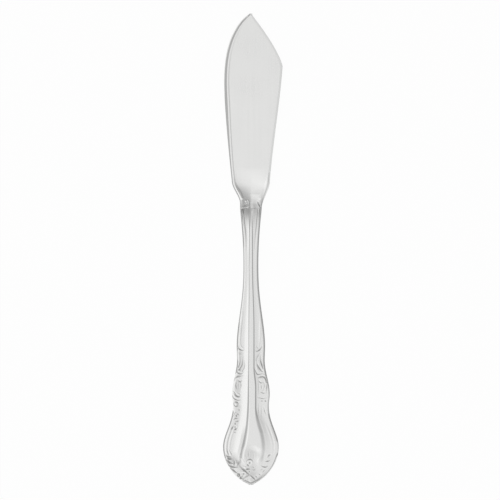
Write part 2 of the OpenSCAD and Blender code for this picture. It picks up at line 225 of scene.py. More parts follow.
def thick_sheet(outer: Array, inner: Array, relief: Array | None, flip: bool) -> Shape:
    """A stamped sheet: a fine outer face, a coarser inner face, an end wall, and the edge that joins them.

    Args:
        outer: grid of the outer face's points.
        inner: grid of the inner face's points, whose sides match the outer grid's.
        relief: height of the carving on the outer face.
        flip: turns the sheet over, for a face that looks down.

    Returns:
        The closed shape.
    """
    shape = Shape()
    outer_ids = shape.add_points(outer, relief)
    inner_ids = shape.add_points(inner)
    shape.add_quads(outer_ids, flip)
    shape.add_quads(inner_ids, not flip)
    shape.add_cap(outer_ids[-1], not flip)
    shape.add_cap(inner_ids[-1], flip)
    loops = (*border_loop(outer_ids, outer), *border_loop(inner_ids, inner))
    shape.zip_loops(*(loops[2:] + loops[:2] if flip else loops))
    return shape


class Side(Enum):
    """The half of the knife that a carved strand lies on, seen from above with the tip up."""

    BOTH = 0
    LEFT = -1
    RIGHT = 1


LEFT, RIGHT = Side.LEFT, Side.RIGHT
# Shares of a ridge's half width and height that are left at its ends, and straight pieces in a ring
END_WIDTH, END_HEIGHT, RING_PIECES = 0.6, 0.4, 12


@dataclass(frozen=True)
class Strand:
    """A carved strand, bead or groove.

    Its path runs through points given as distance from the centre line and y, in mm. Half widths and heights
    are spread evenly along it. One point alone makes a bead, and a height below zero cuts a groove.
    """

    path: Points
    half_widths: tuple[float, ...]
    heights: tuple[float, ...]
    side: Side = Side.BOTH

    def smooth(self, steps: int = 5) -> Array:
        """The path as a curve through its points.

        Between two points the curve is a cubic whose direction at each point is half the way from the point
        before to the point after.

        Args:
            steps: number of straight pieces between two points.

        Returns:
            Array of points, one row each.
        """
        p = np.array(self.path, float)
        if len(p) < 3:
            return p
        before, after = np.vstack([2 * p[0] - p[1], p[:-1]]), np.vstack([p[1:], 2 * p[-1] - p[-2]])
        slope = 0.5 * (after - before)
        t = (np.arange(steps) / steps)[None, :, None]
        a, b, da, db = (v[:, None, :] for v in (p[:-1], p[1:], slope[:-1], slope[1:]))
        curve = mix(a, b, ease(t)) + da * t * (1 - t) ** 2 - db * t * t * (1 - t)
        return np.vstack([curve.reshape(-1, 2), p[-1:]])

    @staticmethod
    def spread(values: tuple[float, ...], share: Array) -> Array:
        """Reads half widths or heights at shares of the path's length."""
        return np.interp(share, np.linspace(0.0, 1.0, len(values)), values)


def path_distance(x: Array, y: Array, path: Array) -> tuple[Array, Array]:
    """Distance from places to a path.

    Args:
        x: distances from the centre line, in mm.
        y: places along the knife, in mm.
        path: the path's points, one row each.

    Returns:
        The least distance from each place to the path's straight pieces, and the share of the path's length
        at the nearest point.
    """
    if len(path) == 1:
        path = np.vstack([path, path])
    steps = np.linalg.norm(np.diff(path, axis=0), axis=1)
    along = np.concatenate([[0.0], np.cumsum(steps)]) / max(steps.sum(), TINY)
    least = np.full(x.shape, np.inf)
    share = np.zeros(x.shape)
    for (x0, y0), (x1, y1), s0, s1 in zip(path[:-1], path[1:], along[:-1], along[1:]):
        dx, dy = x1 - x0, y1 - y0
        t = unit(((x - x0) * dx + (y - y0) * dy) / max(dx * dx + dy * dy, TINY))
        distance = np.hypot(x - x0 - t * dx, y - y0 - t * dy)
        share = np.where(distance < least, mix(s0, s1, t), share)
        least = np.minimum(least, distance)
    return least, share


def ridge(path: Points, half: float, height: float, side: Side = Side.BOTH) -> Strand:
    """A raised strand that thins and sinks towards both ends."""
    thin, low = END_WIDTH * half, END_HEIGHT * height
    return Strand(path, (thin, half, thin), (low, height, low), side)


def cut(path: Points, half: float, depth: float, side: Side = Side.BOTH) -> Strand:
    """A groove that thins and fades towards both ends."""
    return ridge(path, half, -depth, side)


def bead(away: float, y: float, radius: float, height: float, side: Side = Side.BOTH) -> Strand:
    """A round bead, or a dimple where the height is below zero."""
    return Strand(((away, y),), (radius,), (height,), side)


def ring(away: float, y: float, radius: float, half: float, height: float, side: Side = Side.BOTH) -> Strand:
    """A ring-shaped ridge, or a ring-shaped groove where the height is below zero."""
    turns = np.linspace(0.0, 2.0 * math.pi, RING_PIECES + 1)
    path = tuple((away + radius * math.cos(t), y + radius * math.sin(t)) for t in turns)
    return Strand(path, (half, half), (height, height), side)


@dataclass(frozen=True)
class Carving:
    """Stamped ornament: raised strands and cut grooves."""

    strands: tuple[Strand, ...]
    roundness: float = 1.0

    def heights(self, x: Array, y: Array) -> Array:
        """Height of the ornament over its ground.

        Across a strand the height is that of its middle times one less the square of distance over half width,
        to the power of the roundness. The highest strand and the deepest groove win, and both are added.

        Args:
            x: places across the knife, in mm.
            y: places along the knife, in mm.

        Returns:
            Heights in mm, below zero in grooves.
        """
        raised, sunk = np.zeros(x.shape), np.zeros(x.shape)
        for strand in self.strands:
            away = np.abs(x) if strand.side is Side.BOTH else x * strand.side.value
            path, room = strand.smooth(), max(strand.half_widths)
            low, high = path.min(axis=0) - room, path.max(axis=0) + room
            near = (away > low[0]) & (away < high[0]) & (y > low[1]) & (y < high[1])
            distance, share = path_distance(away[near], y[near], path)
            half = strand.spread(strand.half_widths, share)
            height = strand.spread(strand.heights, share) * (1.0 - unit(distance / half) ** 2) ** self.roundness
            raised[near] = np.maximum(raised[near], height)
            sunk[near] = np.minimum(sunk[near], height)
        return raised + sunk


# Broad shallow hollows under the ornament: their depth also darkens the steel's colour, painted shade on these grounds
SHADE_HOLLOWS = Carving((
    # Recesses under the volutes at the mouth
    Strand(((3.14, 17.91), (3.23, 16.73), (3.23, 15.54), (3.14, 14.26)), (1.1,), (-0.16, -0.18, -0.08, 0.0), LEFT),
    Strand(((4.03, 17.91), (3.99, 15.96), (3.78, 13.84)), (0.7,), (-0.12, -0.12, -0.04), RIGHT),
    # Leaf, scroll and chain of curls
    Strand(((4.2, -44.32), (3.99, -47.29), (3.99, -50.69)), (1.6,), (-0.03,), LEFT),
    Strand(((5.01, -56.2), (5.26, -57.9), (5.09, -60.02)), (1.3,), (-0.05,), LEFT),
    Strand(((4.84, -66.82), (5.26, -70.21), (5.86, -73.61), (6.54, -76.58)), (1.5,), (-0.035,), LEFT),
    # Step beside the rib's flare
    Strand(((2.29, -74.46), (2.89, -77.43), (3.35, -79.98), (3.86, -82.52), (4.5, -85.07), (4.84, -86.77)), (0.95,),
        (0.0, -0.05, -0.08, -0.08, -0.08, -0.05), LEFT),
    # Panel of the broad end
    Strand(((5.01, -91.27), (3.99, -91.69), (2.89, -92.03)), (0.9,), (-0.08,), LEFT),
    Strand(((4.58, -89.91), (3.14, -89.99)), (1.2,), (-0.04,), LEFT),
    Strand(((7.39, -88.89), (5.26, -91.86), (3.14, -94.41), (1.44, -96.53)), (3.2,), (-0.07,), LEFT),
    Strand(((0.34, -85.92), (0.34, -89.74), (0.34, -93.14), (0.34, -97.38)), (3.4,), (-0.06,), LEFT),
))

ORNAMENT = Carving((
    # Fine lines that run from the volutes into the neck
    Strand(((3.05, 16.6), (2.5, 11.0), (1.95, 5.5), (1.75, 0.0)), (0.3, 0.3, 0.25), (-0.1, -0.1, -0.02)),
    Strand(((0.55, 16.6), (0.6, 11.0), (0.62, 5.0)), (0.25, 0.28, 0.2), (-0.08, -0.08, -0.02), LEFT),
    cut(((4.16, 17.23), (3.69, 15.11), (3.35, 12.57), (3.06, 10.02)), 0.4, 0.16, LEFT),
    ridge(((0.81, 1.1), (0.85, -5.69), (0.89, -11.63), (0.98, -19.27)), 0.35, 0.06, LEFT),
    # The rim's inward hook that closes each flute: its line and the shade under it
    ridge(((3.4, -26.91), (3.86, -30.31), (4.37, -34.55), (4.58, -37.95), (4.5, -40.29), (3.99, -41.6),
        (3.06, -42.2)), 0.5, 0.1, LEFT),
    cut(((5.77, -41.18), (5.01, -42.11), (4.2, -42.66), (3.48, -42.79), (2.72, -42.62)), 0.3, 0.17, LEFT),
    bead(4.5, -43.89, 1.0, -0.04, LEFT),
    ridge(((3.99, -29.46), (3.91, -34.55), (3.74, -38.8), (3.31, -41.35)), 0.6, 0.09, RIGHT),
    cut(((4.75, -41.09), (4.33, -42.03), (3.65, -42.75), (2.63, -43.21), (2.21, -43.04)), 0.27, 0.17, RIGHT),
    cut(((2.63, -40.75), (2.72, -41.69), (3.23, -42.03)), 0.2, 0.07, RIGHT),
    # Leaf below the hook: its ground, its veins, its edge and the bead it curls round
    Strand(((4.41, -45.17), (4.41, -47.29), (4.67, -48.73), (5.26, -50.01)), (0.24,), (-0.02, -0.06, -0.12, -0.16),
        LEFT),
    Strand(((3.14, -45.59), (3.44, -47.29), (3.57, -48.73), (3.99, -49.84), (4.67, -50.86), (5.35, -51.11)),
        (0.26,), (-0.04, -0.07, -0.12, -0.14, -0.08), LEFT),
    Strand(((2.63, -47.29), (2.72, -49.41), (3.06, -50.9), (3.57, -51.66)), (0.24,), (-0.02, -0.07, -0.1), LEFT),
    bead(5.01, -51.7, 0.7, 0.08, LEFT),
    cut(((6.2, -51.36), (5.77, -52.13), (5.09, -52.64), (4.33, -52.81), (3.57, -52.55), (2.97, -51.96)), 0.3, 0.16,
        LEFT),
    cut(((4.24, -43.47), (3.57, -44.49), (2.89, -45.59), (2.21, -47.03)), 0.36, 0.09, RIGHT),
    Strand(((4.46, -44.74), (4.16, -46.02), (4.16, -47.29), (4.46, -48.56), (4.92, -49.84), (5.18, -50.43)), (0.3,),
        (-0.05, -0.08, -0.14, -0.18, -0.1), RIGHT),
    cut(((2.8, -48.73), (3.23, -49.84), (3.82, -50.77), (4.58, -51.62), (5.09, -51.87)), 0.3, 0.18, RIGHT),
    cut(((1.7, -50.69), (2.21, -51.96), (2.8, -52.89), (3.82, -52.98), (4.67, -52.72)), 0.33, 0.1, RIGHT),
    ridge(((2.21, -47.29), (2.33, -49.41), (2.8, -50.94), (3.74, -52.13)), 0.4, 0.06, RIGHT),
    ridge(((3.4, -45.59), (3.23, -47.29), (3.35, -48.82), (3.91, -50.01)), 0.3, 0.05, RIGHT),
    # C-shaped scroll on the second swell: its back, its eye, the strands inside and the shades round it
    cut(((7.05, -55.78), (6.71, -54.85), (5.94, -54.17), (4.92, -53.78), (3.99, -53.66), (3.14, -53.57)), 0.3, 0.15,
        LEFT),
    bead(5.01, -54.93, 0.6, 0.05, LEFT),
    cut(((3.74, -55.35), (4.12, -56.12), (4.84, -56.03), (5.43, -55.52)), 0.27, 0.13, LEFT),
    ridge(((6.28, -55.61), (6.62, -56.84), (6.83, -58.33), (6.92, -59.6), (6.71, -60.45)), 0.36, 0.08, LEFT),
    cut(((6.03, -56.42), (6.2, -57.9), (5.86, -59.39)), 0.24, 0.11, LEFT),
    cut(((5.18, -56.46), (5.26, -57.9), (5.26, -59.18)), 0.2, 0.08, LEFT),
    cut(((4.25, -56.2), (4.16, -57.9), (4.33, -59.39)), 0.24, 0.1, LEFT),
    cut(((7.43, -60.11), (6.71, -60.87), (6.11, -61.98), (5.26, -62.4), (4.5, -62.15), (4.67, -61.3),
        (5.35, -61.13)), 0.3, 0.13, LEFT),
    ridge(((7.43, -61.21), (7.05, -61.98), (6.45, -62.66), (5.52, -63.08), (4.67, -63.08)), 0.33, 0.08, LEFT),
    cut(((7.98, -61.72), (7.64, -62.57), (6.96, -63.34), (5.94, -63.84), (4.84, -63.93), (4.08, -63.76)), 0.28,
        0.12, LEFT),
    ridge(((3.06, -53.57), (4.08, -53.23), (5.18, -53.23), (6.2, -53.74)), 0.36, 0.06, RIGHT),
    Strand(((3.23, -54.46), (4.16, -54.04), (5.09, -54.0), (5.86, -54.51), (6.37, -55.27), (6.62, -56.37)), (0.3,),
        (-0.05, -0.12, -0.13, -0.18, -0.2, -0.1), RIGHT),
    bead(4.33, -55.19, 0.9, 0.05, RIGHT),
    cut(((3.31, -55.44), (3.82, -56.33), (4.67, -56.63), (5.43, -56.03)), 0.22, 0.1, RIGHT),
    cut(((6.66, -56.42), (6.71, -58.75), (6.62, -61.04)), 0.25, 0.13, RIGHT),
    cut(((3.23, -55.78), (3.31, -58.33), (3.23, -61.3)), 0.22, 0.07, RIGHT),
    cut(((4.58, -57.39), (4.54, -58.33), (4.63, -59.18)), 0.22, 0.09, RIGHT),
    cut(((5.48, -56.2), (5.82, -58.07), (5.43, -59.43), (4.84, -60.19)), 0.25, 0.1, RIGHT),
    cut(((4.16, -60.62), (4.84, -60.83), (5.6, -60.96), (6.2, -60.7)), 0.25, 0.11, RIGHT),
    cut(((2.97, -62.78), (4.08, -63.08), (5.35, -63.25), (6.96, -62.87)), 0.22, 0.09, RIGHT),
    bead(6.33, -64.27, 0.5, -0.1, RIGHT),
    cut(((4.24, -64.44), (4.75, -64.27), (5.26, -64.44)), 0.22, 0.09, RIGHT),
    # Bead, the small curls below it and the fine lines across from them
    bead(6.2, -65.63, 0.6, 0.08, LEFT),
    ring(6.2, -65.63, 0.97, 0.25, -0.09, LEFT),
    cut(((6.16, -69.02), (7.05, -69.96), (7.68, -70.81)), 0.24, 0.11, LEFT),
    bead(4.88, -68.09, 0.4, -0.09, LEFT),
    bead(5.35, -70.0, 0.42, -0.11, LEFT),
    bead(6.07, -70.64, 0.42, -0.14, LEFT),
    bead(6.16, -69.87, 0.45, 0.05, LEFT),
    cut(((7.22, -72.25), (6.45, -71.74), (5.26, -71.66)), 0.27, 0.12, LEFT),
    cut(((6.62, -73.18), (5.69, -72.97), (4.67, -72.59)), 0.27, 0.12, LEFT),
    bead(6.54, -73.99, 0.42, -0.12, LEFT),
    bead(6.62, -75.31, 0.4, -0.12, LEFT),
    bead(6.03, -75.31, 0.45, 0.05, LEFT),
    cut(((8.36, -76.66), (7.81, -75.86), (7.22, -75.26)), 0.36, 0.17, LEFT),
    cut(((7.05, -76.66), (6.37, -76.33), (5.6, -75.73)), 0.3, 0.15, LEFT),
    bead(6.62, -77.05, 0.45, 0.05, LEFT),
    cut(((7.22, -77.43), (6.71, -77.64), (6.11, -77.47)), 0.22, 0.08, LEFT),
    cut(((3.27, -65.12), (3.31, -68.51), (3.23, -71.49)), 0.22, 0.06, RIGHT),
    cut(((4.58, -65.97), (4.58, -68.51), (4.5, -71.06)), 0.22, 0.05, RIGHT),
    cut(((5.52, -67.03), (5.86, -68.51), (6.45, -70.04)), 0.22, 0.08, RIGHT),
    # Short strokes where the border lines end
    cut(((8.91, -83.37), (9.0, -84.86), (8.7, -86.0), (8.07, -87.02)), 0.3, 0.08, LEFT),
    cut(((10.1, -84.22), (9.93, -85.66), (9.25, -87.02)), 0.3, 0.06, LEFT),
    # Lobes along the lower edge of the broad end, their ground and the dark cuts between them
    cut(((10.87, -87.02), (9.76, -87.91), (8.24, -88.04)), 0.4, 0.15, LEFT),
    cut(((9.93, -88.47), (9.0, -88.81), (8.15, -88.47)), 0.36, 0.18, LEFT),
    ridge(((11.29, -88.21), (10.53, -89.23), (8.83, -89.57), (8.24, -89.48)), 0.38, 0.09, LEFT),
    cut(((10.87, -89.48), (9.68, -89.91), (8.66, -90.55), (7.64, -90.76)), 0.36, 0.2, LEFT),
    ridge(((10.53, -90.25), (9.51, -91.1), (8.24, -91.69)), 0.42, 0.11, LEFT),
    cut(((9.93, -91.18), (9.0, -91.95), (7.85, -92.33), (6.79, -92.54), (5.69, -92.29)), 0.34, 0.2, LEFT),
    ridge(((8.66, -92.67), (7.56, -93.22), (6.28, -93.9)), 0.3, 0.07, LEFT),
    cut(((8.74, -92.88), (7.64, -93.69), (6.71, -94.49), (5.77, -95.09)), 0.34, 0.19, LEFT),
    ridge(((6.37, -94.24), (5.6, -94.83), (5.18, -95.43)), 0.33, 0.08, LEFT),
    bead(5.26, -95.85, 0.8, -0.2, LEFT),
    bead(4.41, -96.11, 0.55, 0.08, LEFT),
    bead(4.33, -97.17, 0.5, -0.2, LEFT),
    bead(2.89, -97.89, 0.55, 0.07, LEFT),
    cut(((7.22, -88.21), (7.73, -87.45), (8.57, -87.02)), 0.27, 0.12, RIGHT),
    cut(((6.2, -89.99), (7.05, -89.91), (8.07, -89.57)), 0.27, 0.12, RIGHT),
    cut(((4.5, -91.69), (5.35, -92.24), (6.37, -92.37), (7.22, -91.95)), 0.27, 0.14, RIGHT),
    cut(((4.16, -93.77), (5.09, -92.97)), 0.22, 0.07, RIGHT),
    cut(((4.92, -94.75), (6.2, -93.47)), 0.22, 0.07, RIGHT),
    cut(((3.4, -95.09), (4.16, -95.85)), 0.22, 0.1, RIGHT),
    cut(((2.04, -96.11), (2.8, -96.83)), 0.25, 0.14, RIGHT),
    # Leaf between the lobes and the stems that run to the rosette
    ridge(((6.2, -89.91), (6.16, -90.93), (6.24, -91.95)), 0.42, 0.12, LEFT),
    cut(((7.05, -89.65), (7.05, -90.8), (7.13, -91.86)), 0.25, 0.16, LEFT),
    cut(((5.43, -89.82), (5.31, -91.01), (5.52, -92.03)), 0.25, 0.15, LEFT),
    ridge(((4.58, -88.89), (3.91, -89.74), (3.23, -90.5)), 0.4, 0.07, LEFT),
    cut(((3.82, -88.59), (3.14, -89.48), (2.46, -90.25)), 0.22, 0.06, LEFT),
    cut(((5.18, -89.57), (4.84, -90.59), (4.58, -91.61)), 0.33, 0.14, LEFT),
    ridge(((3.91, -88.3), (3.48, -89.15), (2.63, -90.16)), 0.36, 0.05, RIGHT),
    # Rosette: its eye, the ring of petals, the strokes round it, the lancet above it and the buds beside it
    bead(0.42, -90.59, 0.34, -0.12, LEFT),
    ring(0.42, -90.59, 0.85, 0.34, 0.05, LEFT),
    cut(((1.78, -90.33), (1.49, -89.65), (0.89, -89.19), (0.17, -89.1), (-0.51, -89.36), (-0.98, -89.99)), 0.25,
        0.13, LEFT),
    cut(((1.61, -91.18), (1.27, -91.65), (0.76, -91.86)), 0.24, 0.14, LEFT),
    cut(((0.89, -85.75), (0.93, -86.94), (0.89, -88.04)), 0.3, 0.06, LEFT),
    cut(((2.12, -86.51), (1.91, -88.04), (1.44, -89.31)), 0.22, 0.05, LEFT),
    cut(((-1.27, -86.6), (-1.36, -88.21), (-0.93, -89.48)), 0.22, 0.05, LEFT),
    bead(2.5, -92.71, 0.6, 0.1, LEFT),
    cut(((0.68, -93.39), (1.44, -93.56), (2.21, -92.97)), 0.22, 0.08, RIGHT),
    bead(1.06, -92.37, 0.34, -0.08, RIGHT),
    # Crossed lines, the ringed beads between them and the small fan at the butt
    cut(((4.75, -91.69), (3.48, -93.22), (2.38, -93.98), (1.27, -95.05), (0.68, -95.77)), 0.3, 0.2, LEFT),
    cut(((0.51, -95.43), (1.74, -96.36), (3.14, -97.38)), 0.3, 0.2, LEFT),
    cut(((2.46, -93.9), (1.61, -93.31), (0.34, -93.14)), 0.3, 0.2, LEFT),
    ring(2.97, -95.17, 0.72, 0.28, 0.09, LEFT),
    bead(2.97, -95.17, 0.32, -0.12, LEFT),
    bead(0.59, -94.15, 0.34, -0.07, LEFT),
    cut(((0.0, -95.85), (0.68, -96.62), (1.61, -97.38), (2.12, -98.23)), 0.28, 0.17, RIGHT),
    cut(((1.36, -96.96), (1.44, -97.8), (1.53, -98.65)), 0.22, 0.08, LEFT),
    cut(((3.99, -96.28), (3.48, -96.7)), 0.22, 0.1, LEFT),
    bead(0.08, -96.62, 0.5, 0.05, LEFT),
))

SHOULDERS = Carving((
    # Moulding that follows each shoulder, bolder on the side of the dull edge
    Strand(((7.9, 36.5), (7.6, 33.6), (7.2, 29.2), (6.1, 26.1), (4.65, 23.7), (3.75, 21.7)),
        (0.6, 0.7, 0.8, 0.9, 1.0, 0.8), (0.0, 0.0, 0.01, 0.05, 0.15, 0.2), LEFT),
    Strand(((7.9, 36.5), (7.6, 33.6), (7.05, 29.2), (6.25, 26.1), (4.95, 23.7), (3.9, 21.7)),
        (0.6, 0.7, 0.8, 1.0, 1.2, 0.9), (0.0, 0.01, 0.03, 0.08, 0.12, 0.09), RIGHT),
), roundness=2.0)

HEEL = Carving((
    # Hollow of the heel between the volutes
    Strand(((1.9, 23.2), (1.9, 21.2), (1.9, 19.36), (1.9, 17.4)), (2.7,), (0.0, -0.17, -0.31, -0.34), RIGHT),
), roundness=1.4)

VOLUTES = Carving((
    # Volute that each moulding runs into: its curl, the cut inside it and the shade round it
    ridge(((3.6, 17.66), (2.7, 17.5), (1.75, 17.8), (1.1, 18.5), (0.85, 19.4), (1.0, 20.3), (1.5, 21.0)), 0.42,
        0.15, LEFT),
    bead(2.1, 20.5, 0.55, 0.13, LEFT),
    cut(((3.05, 18.1), (2.5, 18.6), (1.9, 19.3)), 0.42, 0.18, LEFT),
    cut(((2.2, 16.95), (1.1, 17.2), (0.4, 18.2), (0.2, 19.6)), 0.3, 0.1, LEFT),
    cut(((2.89, 20.12), (3.35, 19.27), (3.74, 18.51), (4.16, 17.57)), 0.42, 0.22, RIGHT),
    cut(((4.08, 17.23), (2.72, 17.15), (1.19, 17.23)), 0.35, 0.2, LEFT),
    # Line along the shoulder's edge
    Strand(((7.98, 32.52), (7.47, 27.85), (6.37, 24.28), (5.18, 21.48), (4.75, 18.93)), (0.45,), (-0.05,), RIGHT),
))


@dataclass(frozen=True)
class Handle:
    """The hollow handle: two stamped shells, the braze between them and the cement inside.

    Places are shares of the length from the mouth, and sizes are in mm.
    """

    mouth_y: float = 17.2
    length: float = 117.2
    # Place, width and bend of each swell and waist
    stations: Rows = ((0.0, 9.2, 1.0), (0.201, 6.3, 0.6), (0.496, 12.0, 1.3), (0.548, 11.7, 1.0),
                      (0.672, 16.0, 1.0), (0.712, 15.2, 1.0), (0.862, 23.6, 1.15))
    butt_width: float = 2.2
    butt_round: Pair = (2.0, 0.72)
    # Seam, wall, and the plain back with the flat land that it rests on
    seam_z: float = 2.8
    seam: float = 0.2
    wall: float = 0.6
    back_depth: float = 2.8
    back_round: Pair = (3.0, 0.45)
    land_depth: float = 0.25
    land_least: float = 0.05
    # Height of the rib over the seam
    neck_crown: float = 3.0
    terminal_crown: float = 3.0
    # Trough at the mouth, with what is left of its depth and its fall on the right, and where each changes
    mouth_drop: float = 0.65
    mouth_trough: float = 0.7
    mouth_rise: float = 0.075
    trough_bend: float = 1.25
    trough_right: float = 0.35
    trough_change: Pair = (-0.4, 3.0)
    fall_right: float = 0.7
    fall_change: Pair = (-1.0, 1.5)
    # Rim: how far it lies below the rib, its width and its rounding
    rim_drops: Pair = (0.3, 1.0)
    rim_width: float = 1.8
    neck_rim: float = 0.65
    mouth_rim: float = 0.6
    rim_slope: float = 1.0
    rim_bend: float = 2.0
    # Flutes: their depth, the width at which it is full, and the share of it on the right
    flute_depth: float = 0.35
    flute_span: float = 7.0
    flute_right: float = 0.4
    # The rib's steps, the shoulders beside it and its reach on each side, and its limits in shares of the face
    rib_step: float = 0.24
    rib_start: float = 0.1
    rib_flare_steps: Pair = (0.9, 0.6)
    rib_left_shoulders: Pair = (0.45, 2.8)
    rib_right_shoulders: Rows = ((0.201, 0.45, 1.0), (0.65, 0.75, 1.0), (0.72, 0.75, 1.0), (0.79, 2.4, 1.0))
    rib_left: Rows = ((0.201, 0.65, 1.0), (0.44, 0.85, 1.0))
    rib_left_flare: tuple[float, float, float] = (0.68, 0.893, 4.25)
    rib_left_bend: float = 2.2
    rib_right: Rows = ((0.201, 0.65, 1.0), (0.44, 1.3, 1.0), (0.57, 1.3, 1.0), (0.65, 2.05, 1.0), (0.72, 2.05, 1.0),
                       (0.868, 5.75, 1.0))
    rib_most: float = 0.6
    rib_flat_least: float = 0.3
    rib_fade: Pair = (0.893, 0.94)
    panel_crown: float = 0.75
    # Dished oval under the rosette: depth, middle, half width and half length, and the share that is level
    ground_drop: float = 0.15
    ground_y: float = -90.0
    ground_oval: Pair = (8.0, 7.0)
    ground_level: float = 0.6
    # Border lines: distances from the edge, heights left and right, half width, and where they rise and fade
    border_insets: Pair = (1.4, 2.75)
    border_heights: Pair = (0.1, 0.04)
    border_half: float = 0.5
    border_rise: Pair = (-73.0, -78.0)
    border_fade: Pair = (-89.0, -86.0)
    # Stretches of rim that the ornament fills: start, end and share, below zero where the rim rounds more
    left_fills: Rows = ((2.0, -32.0, 0.3), (-42.0, -48.0, 0.4), (-51.8, -69.5, 0.85), (-89.0, -99.6, 0.7))
    right_fills: Rows = ((-57.0, -70.5, 0.4), (-80.5, -87.5, 0.6), (-87.5, -99.6, -0.7))
    fill_ease: float = 1.5
    # Widths along the left and right edge in which the carving fades out, and where the carving starts
    carving_margins: Pair = (0.2, 0.6)
    carved_from: float = 0.455
    # Section of the braze: share of the way in from its outer face, and height in shares of the seam
    braze_section: Points = ((0.0, 0.5), (0.06, 0.25), (0.08, 0.0), (0.06, -0.25), (0.0, -0.5), (1.0, -0.5), (1.0, 0.5))
    # Rows of the grids and the power that draws them together at the butt, and columns across each zone
    plain_rows: int = 60
    carved_rows: tuple[int, float] = (385, 1.2)
    back_rows: tuple[int, float] = (241, 1.4)
    inside_rows: tuple[int, float] = (49, 1.3)
    front_counts: tuple[int, int, int, int] = (26, 8, 46, 12)
    front_inside_counts: tuple[int, int, int, int] = (1, 1, 4, 3)
    back_counts: tuple[int, int] = (8, 28)
    back_inside_counts: tuple[int, int] = (2, 7)

    @property
    def neck(self) -> float:
        """Share at the narrowest place."""
        return self.stations[1][0]

    @property
    def terminal(self) -> float:
        """Share at the broadest place."""
        return self.stations[-1][0]

    def reach(self, s: Array) -> Array:
        """Half the width: eased from station to station, then a rounded arch to the blunt butt."""
        body = eased_at(self.stations, s) / 2
        tail = self.stations[-1][1] / 2 * arch(share_between(s, self.terminal, 1.0), self.butt_round)
        return np.where(s > self.terminal, np.maximum(self.butt_width / 2, tail), body)

    def y(self, s: Array, end_wall: float = 0.0) -> Array:
        """Place along the knife, with the butt drawn in by a wall for an inner face."""
        return self.mouth_y - s * (self.length - end_wall)

    @staticmethod
    def inset(size: Array, wall: float) -> Array:
        """A size less a wall, and never less than half of it."""
        return size - np.minimum(wall, size / 2)

    def mouth_fall(self, s: Array) -> Array:
        """Falls from 1 at the mouth to 0 where the neck is full, as a square."""
        return (1.0 - share_between(s, 0.0, self.mouth_rise)) ** 2

    def crown(self, s: Array) -> Array:
        """Height of the rib over the seam: up from the mouth, then eased from the neck to the broad end."""
        full = mix(self.neck_crown, self.terminal_crown, ease(share_between(s, self.neck, self.terminal)))
        return full - self.mouth_drop * self.mouth_fall(s)

    def rim_drop(self, s: Array) -> Array:
        """How far the rim lies below the rib, growing by a square from the neck to the broad end."""
        return mix(*self.rim_drops, self.rib_growth(s) ** 2)

    def rib_growth(self, s: Array) -> Array:
        """Share of the way from the neck to the end of the rib's flare."""
        return share_between(s, self.neck, self.rib_fade[0])

    def end_fall(self, s: Array) -> Array:
        """Share of the height that is left as the butt narrows: a quarter circle of the half width."""
        return quarter(self.reach(s) / (2 * self.rim_width))

    def rim(self, s: Array) -> Array:
        """Width of the rounded rim, narrower on the neck and at the mouth."""
        full = np.minimum(self.rim_width / 2, self.neck_rim * self.reach(s) / 2)
        return full * mix(1.0, self.mouth_rim, self.mouth_fall(s))

    def rim_rounding(self, edge: Array, s: Array) -> Array:
        """How far the rim has rounded down at a distance from the edge, by a power."""
        rim = self.rim(s)
        return self.rim_slope * rim / self.rim_bend * unit(1.0 - edge / rim) ** self.rim_bend

    def rib_foot(self, s: Array, side: Side) -> Array:
        """Reach of the rib's foot: eased from row to row, and flared by a power on the side of the dull edge."""
        if side is LEFT:
            start, end, flare = self.rib_left_flare
            reach = mix(eased_at(self.rib_left, s), flare, share_between(s, start, end) ** self.rib_left_bend)
        else:
            reach = eased_at(self.rib_right, s)
        return np.minimum(reach + self.rib_shoulder(s, side) / 2, (self.reach(s) - self.rim(s)) * self.rib_most)

    def rib_shoulder(self, s: Array, side: Side) -> Array:
        """Width of the step beside the rib: growing by a square, or eased from row to row towards the back."""
        if side is LEFT:
            return mix(*self.rib_left_shoulders, self.rib_growth(s) ** 2)
        return eased_at(self.rib_right_shoulders, s)

    def rib_top(self, s: Array, side: Side) -> Array:
        """Reach of the rib's flat top on one side."""
        foot = self.rib_foot(s, side)
        return np.maximum(foot - self.rib_shoulder(s, side), self.rib_flat_least * foot)

    def front_height(self, x: Array, s: Array) -> Array:
        """Height of the plain decorated face over the seam.

        From the middle out: the rib's flat top, its eased step, a flute that dips as a half sine below the line
        from rib to rim, and the rim, which rounds down to its edge by a power. At the mouth the rib sinks into a
        trough, and past the flare it fades into a crowned panel.

        Args:
            x: places across the handle.
            s: share of the length.

        Returns:
            Heights in mm.
        """
        away, reach, rim, crown = np.abs(x), self.reach(s), self.rim(s), self.crown(s)
        drop = self.rim_drop(s)
        step = mix(self.rib_step, np.where(x < 0.0, *self.rib_flare_steps), self.rib_growth(s) ** 3)
        step = step * np.where(x < 0.0, 1.0, ease(share_between(s, 0.0, self.rib_start)))
        foot, top = (np.where(x < 0.0, line(s, LEFT), line(s, RIGHT))
                     for line in (self.rib_foot, self.rib_top))
        inner, low = reach - rim, crown - drop
        t = share_between(away, inner, foot)
        dip = self.flute_depth * np.where(x < 0.0, 1.0, self.flute_right) * unit((inner - foot) / self.flute_span)
        flute = mix(low, crown - step, t) - dip * np.sin(math.pi * t)
        rib = crown - step * ease(share_between(away, top, foot))
        dome = 1.0 - (away / inner) ** 2
        panel = crown - drop * (1.0 - self.panel_crown * dome)
        body = mix(np.where(away < foot, rib, flute), panel, ease(share_between(s, *self.rib_fade)))
        trough = self.mouth_trough * mix(1.0, self.trough_right, ease(share_between(x, *self.trough_change)))
        trough = low - trough * (1.0 - unit(away / inner) ** self.trough_bend)
        fall = self.mouth_fall(s) * mix(1.0, self.fall_right, ease(share_between(x, *self.fall_change)))
        body = mix(body + self.mouth_drop * (self.mouth_fall(s) - fall), trough, fall)
        edge = reach - away
        return self.end_fall(s) * np.where(edge < rim, low - self.rim_rounding(edge, s), body)

